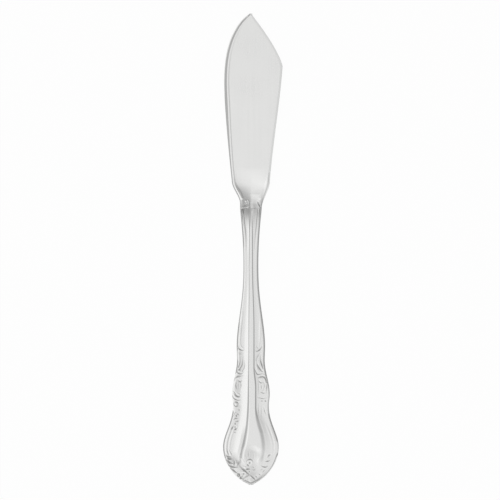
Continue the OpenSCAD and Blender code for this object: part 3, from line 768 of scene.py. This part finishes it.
    def back_height(self, x: Array, s: Array) -> Array:
        """Depth of the plain back below the seam: a full rounded arch across the width."""
        full = self.back_depth - self.seam / 2 + self.land_depth
        return self.end_fall(s) * full * arch(unit(x / self.reach(s)), self.back_round)

    def border(self, x: Array, y: Array, edge: Array) -> Array:
        """Two fine raised lines that follow the broad end's edge, eased in and out along it."""
        along = ease(share_between(y, *self.border_rise)) * ease(share_between(y, *self.border_fade))
        lines = [np.maximum(0.0, 1.0 - ((edge - inset) / self.border_half) ** 2) for inset in self.border_insets]
        return np.where(x < 0.0, *self.border_heights) * along * np.maximum(*lines)

    def rim_fill(self, x: Array, y: Array) -> Array:
        """Share of the rounded rim that the ornament fills, eased in and out along each side."""
        run = self.fill_ease
        left, right = (sum(fill * ease(share_between(y, start, start - run)) * ease(share_between(y, end, end + run))
                           for start, end, fill in fills) for fills in (self.left_fills, self.right_fills))
        return np.where(x < 0.0, left, right)

    def front_columns(self, s: Array, counts: tuple[int, int, int, int], side: Side) -> Array:
        """Distances of the grid's columns from the centre line, on one side of it.

        Args:
            s: shares of the length, as a column.
            counts: columns across the rib's top, its step, the flute and the rim.
            side: the side.

        Returns:
            One row for each share, from the centre line to the edge.
        """
        stops = (np.zeros(s.shape), self.rib_top(s, side), self.rib_foot(s, side), self.reach(s) - self.rim(s),
                 self.reach(s))
        spans = [mix(a, b, np.arange(n)[None, :] / n) for a, b, n in zip(stops, stops[1:], counts)]
        return np.concatenate(spans + [stops[-1]], axis=1)

    def front_grid(self, s: Array, counts: tuple[int, int, int, int], wall: float) -> tuple[Array, Array]:
        """Points of the front shell from seam to seam.

        Args:
            s: shares of the length, as a column.
            counts: columns across rib, step, flute and rim.
            wall: 0 for the carved outer face, or the wall's thickness for the plain inner one.

        Returns:
            The points, and the height of the carving at each.
        """
        left, right = (self.front_columns(s, counts, side) for side in (LEFT, RIGHT))
        x = np.concatenate([-left[:, ::-1], right[:, 1:]], axis=1)
        height = self.front_height(x, s)
        y = np.broadcast_to(self.y(s, wall), x.shape)
        relief = np.zeros(x.shape)
        if wall:
            height = self.inset(height, wall)
            x = x * self.inset(self.reach(s), wall) / self.reach(s)
        else:
            edge = self.reach(s) - np.abs(x)
            oval = np.hypot(x / self.ground_oval[0], (y - self.ground_y) / self.ground_oval[1])
            ground = self.ground_drop * (1.0 - ease(share_between(oval, self.ground_level, 1.0)))
            # Below zero the relief also darkens the steel's colour: painted shade in the recesses
            relief = SHADE_HOLLOWS.heights(x, y) + ORNAMENT.heights(x, y) + self.border(x, y, edge)
            relief = relief * ease(share_between(edge, 0.0, np.where(x < 0.0, *self.carving_margins)))
            filled = self.rim_fill(x, y) * self.rim_rounding(edge, s)
            height = np.minimum(height - ground + relief + filled, self.terminal_crown)
        x, y, height, relief = (np.pad(v, ((0, 0), (1, 1)), mode="edge") for v in (x, y, height, relief))
        height[:, [0, -1]] = 0.0
        return np.stack([x, y, self.seam_z + self.seam / 2 + height], axis=-1), relief

    def build_front(self) -> bpy.types.Object:
        """Makes the front shell, with close rows where it is carved."""
        rows = np.concatenate([np.linspace(0.0, self.carved_from, self.plain_rows, endpoint=False),
                               mix(self.carved_from, 1.0, closing(*self.carved_rows))])
        outer, relief = self.front_grid(rows[:, None], self.front_counts, 0.0)
        inner, _ = self.front_grid(closing(*self.inside_rows)[:, None], self.front_inside_counts, self.wall)
        return thick_sheet(outer, inner, relief, False).make("front_shell_stamped")

    def back_grid(self, s: Array, counts: tuple[int, int], wall: float) -> Array:
        """Points of the back shell from seam to seam, with columns on the edge of the ground land."""
        reach, full = self.reach(s), self.back_depth - self.seam / 2
        left = np.minimum(1.0, full / ((full + self.land_depth) * self.end_fall(s)))
        across, power = self.back_round
        land = reach * np.maximum(self.land_least, (1.0 - left ** (1.0 / power)) ** (1.0 / across))
        turn = np.linspace(0.0, math.pi / 2, counts[1] + 1)[None, :]
        flat = np.linspace(0.0, 1.0, counts[0], endpoint=False)[None, :]
        half = np.concatenate([land * flat, mix(land, reach, np.sin(turn))], axis=1)
        x = np.concatenate([-half[:, ::-1], half[:, 1:]], axis=1)
        height = self.back_height(np.abs(x), s)
        if wall:
            height = self.inset(height, wall)
            x = x * self.inset(reach, wall) / reach
        y = np.broadcast_to(self.y(s, wall), x.shape)
        return np.stack([x, y, self.seam_z - self.seam / 2 - np.minimum(height, full)], axis=-1)

    def build_back(self) -> bpy.types.Object:
        """Makes the plain back shell, flat where it rests on the table."""
        outer = self.back_grid(closing(*self.back_rows)[:, None], self.back_counts, 0.0)
        inner = self.back_grid(closing(*self.inside_rows)[:, None], self.back_inside_counts, self.wall)
        return thick_sheet(outer, inner, None, True).make("back_shell_plain")

    def build_braze(self) -> bpy.types.Object:
        """Makes the braze: a flat ribbon between the rims, its outer face slightly hollow."""
        rows = closing(*self.back_rows)
        outer = np.stack([self.reach(rows), self.y(rows)], axis=1)
        inner = np.stack([self.inset(self.reach(rows), self.wall), self.y(rows, self.wall)], axis=1)
        mirror = np.array([-1.0, 1.0])
        outer, inner = (np.concatenate([side, side[::-1] * mirror]) for side in (outer, inner))
        loops = np.stack([np.column_stack([mix(outer, inner, depth), np.full(len(outer), self.seam_z + self.seam * z)])
                          for depth, z in self.braze_section], axis=1)
        shape = Shape()
        ids = shape.add_points(loops)
        shape.add_quads(ids, wrap=True)
        shape.add_cap(ids[0])
        shape.add_cap(ids[-1], flip=True)
        return shape.make("seam_braze_ribbon")

    def dress(self, finishes: dict[str, bpy.types.Material]) -> list[bpy.types.Object]:
        """Builds the handle's pieces and gives each its finish, body and node.

        Args:
            finishes: materials by slot.

        Returns:
            The new pieces.
        """
        pieces = [stand_for(self.build_front(), "front_shell", "handle_steel", finishes),
                  stand_for(self.build_back(), "back_shell", "handle_steel", finishes),
                  stand_for(self.build_braze(), "seam_braze", "braze", finishes)]
        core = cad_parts["cement_core"].data.materials
        core.clear()
        core.append(finishes["cement"])
        return pieces


@dataclass(frozen=True)
class Blade:
    """The forged blade with its bolster and its hidden tang. Shares run from the mouth to the tip."""

    handle: Handle
    length: float = 82.8
    gap: float = 0.05
    # Outline: reaches, the places where they lie, and the bends between them
    belly_reach: float = 11.4
    corner_reach: float = 13.48
    shoulder_reach: float = 8.1
    tip_width: float = 1.2
    bolster: float = 0.025
    shoulder: float = 0.141
    belly_peak: float = 0.639
    corner: float = 0.7286
    belly_rise: float = 1.35
    belly_fall: Pair = (2.5, 0.72)
    clip: Pair = (1.32, 1.0)
    sway: float = 0.35
    # Thickness at the heel and the tip
    heel_thickness: float = 2.3
    tip_thickness: float = 1.2
    # Bevel along the dull edge, the band beside it, and the eased back, which is sharper along the clip
    belly_bevel: float = 1.1
    belly_slope: float = 0.64
    belly_thickness: float = 0.4
    heel_bevel: float = 0.3
    bevel_full: float = 0.6
    bevel_most: float = 0.6
    bevel_crease: float = 0.03
    band_width: float = 0.9
    band_height: float = 0.1
    band_ease: float = 0.25
    back_bevel: float = 0.9
    back_ease: float = 0.15
    back_crease: float = 0.02
    clip_ease: float = 0.05
    clip_change: Pair = (-0.02, 0.04)
    # Heel: how soon its middle and its edges come down to the blade's thickness, and the scoop in it
    heel_rise: float = 0.12
    edge_rise: float = 0.085
    edge_zone: Pair = (0.68, 0.86)
    scoop_depth: float = 0.65
    scoop_bend: float = 1.5
    scoop_reach: Pair = (0.83, 0.85)
    scoop_places: Pair = (0.21, 0.11)
    carving_margin: float = 0.3
    # Tang: its length, its width and thickness at each end, and how far it lies below the seam
    tang_length: float = 62.0
    tang_root: Pair = (4.2, 2.0)
    tang_end: Pair = (2.6, 1.8)
    tang_drop: float = 0.6
    # Grid: widths of the close columns along each edge, and rows and columns in each zone
    close_widths: Pair = (2.4, 2.0)
    close_most: float = 0.45
    column_counts: tuple[int, int, int] = (24, 92, 19)
    heel_end: float = 0.24
    heel_rows: int = 105
    blade_rows: int = 120
    row_power: float = 0.9

    def shoulder_side(self, s: Array, start: float) -> Array:
        """Half width at the bolster, eased out to the shoulder."""
        mouth = self.handle.stations[0][1] / 2
        return mix(mouth, self.shoulder_reach, ease(share_between(s, start, self.shoulder)))

    def belly_side(self, s: Array) -> Array:
        """Reach of the dull, curved edge: a bent rise to its peak, then a rounded arch to the tip."""
        rise = 1.0 - (1.0 - share_between(s, self.shoulder, self.belly_peak)) ** self.belly_rise
        fall = self.belly_reach * arch(share_between(s, self.belly_peak, 1.0), self.belly_fall)
        side = np.where(s <= self.belly_peak, mix(self.shoulder_reach, self.belly_reach, rise),
                        np.maximum(self.tip_width / 2, fall))
        return np.where(s <= self.shoulder, self.shoulder_side(s, self.bolster), side)

    def back_side(self, s: Array) -> Array:
        """Reach of the back: a swaying line out to the corner, then the clip to the tip."""
        t = share_between(s, self.shoulder, self.corner)
        line = mix(self.shoulder_reach, self.corner_reach, mix(t, ease(t), self.sway))
        clip = self.corner_reach * arch(share_between(s, self.corner, 1.0), self.clip)
        side = np.where(s <= self.corner, line, np.maximum(self.tip_width / 2, clip))
        return np.where(s <= self.shoulder, self.shoulder_side(s, 0.0), side)

    def half_thickness(self, x: Array, s: Array) -> Array:
        """Half the blade's thickness.

        The full half thickness tapers to the tip. A flat bevel is ground along the dull edge, with a slightly
        raised band beside it, and the back is eased. Each meets the face in a softened crease.
        """
        full = mix(self.heel_thickness, self.tip_thickness, share_between(s, self.shoulder, 1.0)) / 2
        belly, back = self.belly_side(s), self.back_side(s)
        wide = self.belly_bevel * mix(self.heel_bevel, 1.0, ease(share_between(s, self.shoulder, self.bevel_full)))
        wide = np.minimum(wide, self.bevel_most * belly)
        bevel = np.maximum(self.belly_thickness / 2, full + self.belly_slope * (x + belly - wide))
        band = 1.0 - ease(share_between(x + belly - wide - self.band_width, -self.band_ease, self.band_ease))
        room = np.minimum(self.back_bevel, self.bevel_most * back)
        start, end = (self.corner + change for change in self.clip_change)
        depth = mix(self.back_ease, self.clip_ease, ease(share_between(s, start, end)))
        eased = full + depth * (back - x - room) / room
        return soft_min(soft_min(full + self.band_height * band, bevel, self.bevel_crease), eased, self.back_crease)

    def columns(self, s: Array) -> Array:
        """Places across the blade, close together along both edges."""
        belly, back = self.belly_side(s), self.back_side(s)
        near_belly, near_back = (np.minimum(width, self.close_most * side)
                                 for width, side in zip(self.close_widths, (belly, back)))
        left, middle, right = (np.linspace(0.0, 1.0, count, endpoint=last)[None, :]
                               for count, last in zip(self.column_counts, (False, False, True)))
        return np.concatenate([-belly + near_belly * left, mix(near_belly - belly, back - near_back, middle),
                               back - near_back * (1.0 - right)], axis=1)

    def faces(self, s: Array) -> tuple[Array, Array, Array]:
        """The two faces of the forging.

        Towards the mouth each face is blended into the handle's own section there. The decorated face also has a
        scooped heel, hollow across, between two carved volutes.

        Args:
            s: shares of the length, as a column.

        Returns:
            Points of the decorated face and of the back, and the height of the carving.
        """
        hold = self.handle
        x = self.columns(s)
        y = np.broadcast_to(hold.mouth_y + self.gap + s * (self.length - self.gap), x.shape)
        side = np.where(x < 0.0, self.belly_side(s), self.back_side(s))
        across = x / side * hold.stations[0][1] / 2
        at_edge = ease(share_between(np.abs(x) / side, *self.edge_zone))
        ramp = (1.0 - share_between(s, 0.0, mix(self.heel_rise, self.edge_rise, at_edge))) ** 2
        flat = self.half_thickness(x, s)
        mouth = np.zeros((1, 1))
        front = hold.seam / 2 + hold.front_height(across, mouth)
        back = np.minimum(hold.seam / 2 + hold.back_height(np.abs(across), mouth), hold.back_depth)
        far, full = self.scoop_places
        hollow = ease(share_between(s, far, full)) * np.sin(math.pi / 2 * share_between(s, 0.0, full))
        spread = np.where(x < 0.0, *self.scoop_reach)
        scoop = self.scoop_depth * hollow * (1.0 - unit(np.abs(x) / (spread * side)) ** self.scoop_bend)
        relief = SHOULDERS.heights(x, y) + VOLUTES.heights(x, y)
        relief = relief * ease(share_between(side - np.abs(x), 0.0, self.carving_margin))
        top = hold.seam_z + mix(flat, front, ramp) - scoop + relief + HEEL.heights(x, y)
        low = hold.seam_z - mix(flat, back, 1.0 - ease(share_between(s, 0.0, self.shoulder)))
        return np.stack([x, y, top], axis=-1), np.stack([x, y, low], axis=-1), relief

    def tang(self, around: int) -> Array:
        """Two oval loops of the tang, from its end to its root, with points in the order of the blade's loops."""
        turn = math.pi * (1.0 - 2.0 * np.arange(around) / around)
        ends = []
        for (wide, thick), y in ((self.tang_end, self.handle.mouth_y - self.tang_length),
                                 (self.tang_root, self.handle.mouth_y + self.gap)):
            z = self.handle.seam_z - self.tang_drop + thick / 2 * np.sin(turn)
            ends.append(np.stack([wide / 2 * np.cos(turn), np.full(around, y), z], axis=-1))
        return np.stack(ends)

    def build(self) -> bpy.types.Object:
        """Makes the blade as loops from the tang's end to the tip, each over the face and back under it."""
        heel = np.linspace(0.0, self.heel_end, self.heel_rows, endpoint=False)
        rest = mix(self.heel_end, 1.0, np.sin(np.linspace(0.0, math.pi / 2, self.blade_rows)) ** self.row_power)
        top, low, relief = self.faces(np.concatenate([heel, rest])[:, None])
        loops = np.concatenate([top, low[:, ::-1]], axis=1)
        carved = np.concatenate([relief, np.zeros(relief.shape)], axis=1)
        tang = self.tang(loops.shape[1])
        shape = Shape()
        ids = np.concatenate([shape.add_points(tang), shape.add_points(loops, carved)])
        shape.add_quads(ids, flip=True, wrap=True)
        shape.add_cap(ids[0], flip=True)
        shape.add_cap(ids[-1])
        return shape.make("blade_forged")

    def dress(self, finishes: dict[str, bpy.types.Material]) -> list[bpy.types.Object]:
        """Builds the blade and gives it its finish, body and node."""
        return [stand_for(self.build(), "blade", "blade_steel", finishes)]


def stand_for(piece: bpy.types.Object, node: str, slot: str,
              finishes: dict[str, bpy.types.Material]) -> bpy.types.Object:
    """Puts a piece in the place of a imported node.

    Args:
        piece: the new piece.
        node: the node that it replaces.
        slot: the material slot that it takes its finish from.
        finishes: materials by slot.

    Returns:
        The piece.
    """
    piece.data.materials.append(finishes[slot])
    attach(piece, BODY)
    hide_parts(node)
    return piece


def add_node(tree: bpy.types.NodeTree, kind: str, inputs: dict | None = None, **settings: object) -> bpy.types.Node:
    """Adds a node.

    Args:
        tree: the node tree.
        kind: the node's type.
        inputs: values or output sockets for its inputs, by name or number.
        settings: its own properties.

    Returns:
        The node.
    """
    node = tree.nodes.new(kind)
    for name, value in settings.items():
        setattr(node, name, value)
    for key, value in (inputs or {}).items():
        if isinstance(value, bpy.types.NodeSocket):
            tree.links.new(value, node.inputs[key])
        else:
            node.inputs[key].default_value = value
    return node


def new_material(name: str) -> tuple[bpy.types.Material, bpy.types.NodeTree]:
    """Makes an empty material and returns it with its node tree."""
    material = bpy.data.materials.new(name)
    material.use_nodes = True
    material.node_tree.nodes.clear()
    return material, material.node_tree


@dataclass(frozen=True)
class CutlerySteel:
    """Stainless cutlery steel, stamped or forged and then polished along its length.

    The eye gets a pale neutral mirror, softened by fine lengthwise polishing lines. Its colour is painted darker in the
    recesses, by the carving's depth, as painted shade. The real lines are about 0.05 mm apart, too fine to show,
    so they are drawn wider.
    """

    name: str
    colour: str
    recess_shade_colour: str
    roughness: Pair
    line_mm: float
    line_length_mm: float = 25.0
    line_depth_mm: float = 0.0008
    line_detail: float = 3.0
    line_roughness: float = 0.6
    cloud_mm: float = 14.0
    cloud_detail: float = 2.0
    # Range of lines times clouds that the roughness is spread over, and depth of carving at which the painted recess
    # shade is full
    pattern_range: Pair = (0.1, 0.45)
    full_shade_depth_mm: float = 0.16

    def material(self) -> bpy.types.Material:
        """Makes the material: lines and soft clouds set the roughness, and the carving's depth sets a painted shade in
        the recesses.
        """
        made, tree = new_material(self.name)
        place = add_node(tree, "ShaderNodeTexCoord").outputs["Object"]
        across, along = 1.0 / (self.line_mm * MM), 1.0 / (self.line_length_mm * MM)
        turned = add_node(tree, "ShaderNodeMapping", {"Vector": place, "Scale": (across, along, across)})
        lines = add_node(tree, "ShaderNodeTexNoise",
                         {"Vector": turned.outputs[0], "Scale": 1.0, "Detail": self.line_detail,
                          "Roughness": self.line_roughness})
        clouds = add_node(tree, "ShaderNodeTexNoise",
                          {"Vector": place, "Scale": 1.0 / (self.cloud_mm * MM), "Detail": self.cloud_detail})
        both = add_node(tree, "ShaderNodeMath", {0: lines.outputs["Fac"], 1: clouds.outputs["Fac"]},
                        operation="MULTIPLY")
        rough = add_node(tree, "ShaderNodeMapRange",
                         {"Value": both.outputs[0],
                          "From Min": self.pattern_range[0], "From Max": self.pattern_range[1],
                          "To Min": self.roughness[0], "To Max": self.roughness[1]})
        # Painted shade: below its ground the carving mixes the colour towards the darker recess colour
        relief = add_node(tree, "ShaderNodeAttribute", attribute_name="relief")
        painted_shade_share = add_node(tree, "ShaderNodeMapRange",
                        {"Value": relief.outputs["Fac"], "From Min": -self.full_shade_depth_mm, "From Max": 0.0,
                         "To Min": 1.0, "To Max": 0.0})
        shade = add_node(tree, "ShaderNodeMix",
                         {"Factor": painted_shade_share.outputs[0], MIX_A: hex_colour(self.colour), MIX_B: hex_colour(self.recess_shade_colour)},
                         data_type="RGBA")
        bump = add_node(tree, "ShaderNodeBump", {"Height": lines.outputs["Fac"], "Strength": 1.0,
                                                 "Distance": self.line_depth_mm * MM})
        steel = add_node(tree, "ShaderNodeBsdfPrincipled",
                         {"Base Color": shade.outputs[MIX_OUT], "Metallic": 1.0, "Roughness": rough.outputs[0],
                          "Normal": bump.outputs[0]})
        add_node(tree, "ShaderNodeOutputMaterial", {"Surface": steel.outputs[0]})
        return made


@dataclass(frozen=True)
class SilverBraze:
    """Silver solder, run into the seam and dressed flush: a warmer, slightly grainy metal line."""

    name: str = "silver_braze_dressed"
    colour: str = "#D8D2C4"
    dark: str = "#B9B09D"
    grain_mm: float = 0.4
    grain_detail: float = 3.0
    roughness: Pair = (0.28, 0.45)

    def material(self) -> bpy.types.Material:
        """Makes the material: a fine grain moves the colour and the roughness."""
        made, tree = new_material(self.name)
        place = add_node(tree, "ShaderNodeTexCoord").outputs["Object"]
        grain = add_node(tree, "ShaderNodeTexNoise",
                         {"Vector": place, "Scale": 1.0 / (self.grain_mm * MM), "Detail": self.grain_detail})
        shade = add_node(tree, "ShaderNodeMix",
                         {"Factor": grain.outputs["Fac"], MIX_A: hex_colour(self.colour), MIX_B: hex_colour(self.dark)},
                         data_type="RGBA")
        rough = add_node(tree, "ShaderNodeMapRange",
                         {"Value": grain.outputs["Fac"], "To Min": self.roughness[0], "To Max": self.roughness[1]})
        metal = add_node(tree, "ShaderNodeBsdfPrincipled",
                         {"Base Color": shade.outputs[MIX_OUT], "Metallic": 1.0, "Roughness": rough.outputs[0]})
        add_node(tree, "ShaderNodeOutputMaterial", {"Surface": metal.outputs[0]})
        return made


@dataclass(frozen=True)
class HandleCement:
    """Set mineral cement, poured hot into the handle: a matt, sandy filler that never shows outside."""

    name: str = "handle_cement_set"
    colour: str = "#A2957F"
    dark: str = "#7C705E"
    grain_mm: float = 0.6
    pit_mm: float = 0.05
    pit_strength: float = 0.6
    roughness: float = 0.9

    def material(self) -> bpy.types.Material:
        """Makes the material: cells give the sand, and their edges roughen the surface."""
        made, tree = new_material(self.name)
        place = add_node(tree, "ShaderNodeTexCoord").outputs["Object"]
        sand = add_node(tree, "ShaderNodeTexVoronoi", {"Vector": place, "Scale": 1.0 / (self.grain_mm * MM)})
        shade = add_node(tree, "ShaderNodeMix",
                         {"Factor": sand.outputs["Distance"],
                          MIX_A: hex_colour(self.colour), MIX_B: hex_colour(self.dark)},
                         data_type="RGBA")
        bump = add_node(tree, "ShaderNodeBump",
                        {"Height": sand.outputs["Distance"], "Strength": self.pit_strength,
                         "Distance": self.pit_mm * MM})
        filler = add_node(tree, "ShaderNodeBsdfPrincipled",
                          {"Base Color": shade.outputs[MIX_OUT], "Roughness": self.roughness,
                           "Normal": bump.outputs[0]})
        add_node(tree, "ShaderNodeOutputMaterial", {"Surface": filler.outputs[0]})
        return made


@dataclass(frozen=True)
class Studio:
    """White table, soft light that is brightest overhead and to the left, and a long lens straight above."""

    view_mm: float = 212.55
    centre_mm: Pair = (-0.38, -0.38)
    camera_height: float = 2.4
    camera_sight: float = 20.0
    sensor: float = 36.0
    floor_reach: float = 6.0
    floor_drop: float = 2e-5
    floor_colour: str = "#FCFCFC"
    floor_glow: float = 0.96
    # Strength of the sky at the cosine of its angle from overhead, on the left and on the right
    left_sky: Points = ((0.0, 0.4), (0.17, 0.45), (0.34, 0.53), (0.5, 0.57), (0.64, 0.63), (0.77, 0.87), (0.87, 1.03),
                        (0.94, 1.09), (1.0, 1.01))
    right_sky: Points = ((0.0, 0.36), (0.3, 0.4), (0.5, 0.48), (0.7, 0.64), (0.85, 0.86), (0.94, 0.99), (1.0, 1.01))
    side_change: float = 0.55
    # Most strength that is left towards the tip and the right, past the middle at 0.5
    tip_sky: Points = ((0.0, 1.2), (0.5, 1.1), (0.525, 1.0), (0.55, 0.95), (0.6, 0.81), (0.65, 0.65), (0.7, 0.53),
                       (0.75, 0.45), (1.0, 0.4))
    tip_lean: float = 0.5
    sky_peak: float = 1.3
    lamp_place: tuple[float, float, float] = (-0.5, -0.35, 0.9)
    lamp_size: float = 1.2
    lamp_watts: float = 0.7

    def camera(self) -> None:
        """Puts the camera straight above, with the tip up in the picture."""
        data = bpy.data.cameras.new("camera")
        data.sensor_width = self.sensor
        data.lens = self.sensor * self.camera_height / (self.view_mm * MM)
        data.clip_end = self.camera_sight
        camera = bpy.data.objects.new("camera", data)
        camera.location = (self.centre_mm[0] * MM, self.centre_mm[1] * MM, self.camera_height)
        bpy.context.scene.collection.objects.link(camera)
        bpy.context.scene.camera = camera

    def floor(self) -> None:
        """Lays the table: white to the eye and in the metal, with the knife's shadow kept."""
        r, z = self.floor_reach, -self.floor_drop
        mesh = bpy.data.meshes.new("floor")
        mesh.from_pydata([(-r, -r, z), (r, -r, z), (r, r, z), (-r, r, z)], [], [(0, 1, 2, 3)])
        floor = bpy.data.objects.new("floor", mesh)
        bpy.context.scene.collection.objects.link(floor)
        made, tree = new_material("table_white")
        path = add_node(tree, "ShaderNodeLightPath").outputs
        seen = add_node(tree, "ShaderNodeMath", {0: path["Is Camera Ray"], 1: path["Is Glossy Ray"]},
                        operation="MAXIMUM")
        seen = add_node(tree, "ShaderNodeMath", {0: seen.outputs[0], 1: path["Is Transmission Ray"]},
                        operation="MAXIMUM")
        glow = add_node(tree, "ShaderNodeMath", {0: seen.outputs[0], 1: self.floor_glow}, operation="MULTIPLY")
        cloth = add_node(tree, "ShaderNodeBsdfDiffuse", {"Color": hex_colour(self.floor_colour)})
        white = add_node(tree, "ShaderNodeEmission", {"Color": hex_colour("#FFFFFF"), "Strength": 1.0})
        both = add_node(tree, "ShaderNodeMixShader", {0: glow.outputs[0], 1: cloth.outputs[0], 2: white.outputs[0]})
        add_node(tree, "ShaderNodeOutputMaterial", {"Surface": both.outputs[0]})
        mesh.materials.append(made)

    def sky(self) -> None:
        """Lights the table from a sky whose strength follows the height and the side of each direction."""
        world = bpy.data.worlds.new("studio_sky")
        bpy.context.scene.world = world
        world.use_nodes = True
        tree = world.node_tree
        tree.nodes.clear()
        way = add_node(tree, "ShaderNodeTexCoord").outputs["Generated"]
        parts = add_node(tree, "ShaderNodeSeparateXYZ", {0: way}).outputs
        lean = add_node(tree, "ShaderNodeMath", {0: parts["X"], 1: self.tip_lean, 2: parts["Y"]},
                        operation="MULTIPLY_ADD")
        along = add_node(tree, "ShaderNodeMapRange", {"Value": lean.outputs[0], "From Min": -1.0, "From Max": 1.0})
        ramps = []
        for value, stops in ((parts["Z"], self.left_sky), (parts["Z"], self.right_sky),
                             (along.outputs[0], self.tip_sky)):
            node = add_node(tree, "ShaderNodeValToRGB", {"Fac": value})
            elements = node.color_ramp.elements
            while len(elements) < len(stops):
                elements.new(0.5)
            for element, (place, strength) in zip(elements, stops):
                element.position = place
                element.color = (*(strength / self.sky_peak,) * 3, 1.0)
            ramps.append(node.outputs[0])
        left, right, tip = ramps
        side = add_node(tree, "ShaderNodeMapRange",
                        {"Value": parts["X"], "From Min": -self.side_change, "From Max": self.side_change})
        both = add_node(tree, "ShaderNodeMix", {"Factor": side.outputs[0], MIX_A: left, MIX_B: right},
                        data_type="RGBA")
        sky = add_node(tree, "ShaderNodeMix", {"Factor": 1.0, MIX_A: both.outputs[MIX_OUT], MIX_B: tip},
                       data_type="RGBA", blend_type="DARKEN")
        light = add_node(tree, "ShaderNodeBackground", {"Color": sky.outputs[MIX_OUT], "Strength": self.sky_peak})
        add_node(tree, "ShaderNodeOutputWorld", {"Surface": light.outputs[0]})

    def lamp(self) -> None:
        """Adds one weak, broad lamp from the lower left."""
        data = bpy.data.lights.new("soft_lamp", "AREA")
        data.size = self.lamp_size
        data.energy = self.lamp_watts
        lamp = bpy.data.objects.new("soft_lamp", data)
        x, y, z = self.lamp_place
        lamp.location = self.lamp_place
        lamp.rotation_euler = (math.atan2(math.hypot(x, y), z), 0.0, math.atan2(x, -y) + math.pi)
        bpy.context.scene.collection.objects.link(lamp)

    def set_up(self) -> None:
        """Sets up camera, table, sky and lamp, and the plain view transform."""
        bpy.context.scene.view_settings.view_transform = "Standard"
        self.camera()
        self.floor()
        self.sky()
        self.lamp()


FINISHES = {
    # Each steel's second colour is its painted recess shade
    "blade_steel": CutlerySteel("cutlery_steel_satin", "#E5E5E4", "#C8C8C7", (0.2, 0.3), 0.6, line_length_mm=40.0),
    "handle_steel": CutlerySteel("cutlery_steel_bright", "#DFDFDE", "#B4B4B3", (0.12, 0.22), 0.5),
    "braze": SilverBraze(),
    "cement": HandleCement(),
}


def main() -> None:
    """Builds the studio and the knife, and reports each piece."""
    logging.basicConfig(level=logging.INFO, format="%(name)s: %(message)s")
    Studio().set_up()
    finishes = {slot: finish.material() for slot, finish in FINISHES.items()}
    handle = Handle()
    for piece in handle.dress(finishes) + Blade(handle).dress(finishes):
        LOG.info("%s: %d points, %d faces", piece.name, len(piece.data.vertices), len(piece.data.polygons))


if __name__ == "__main__":
    main()
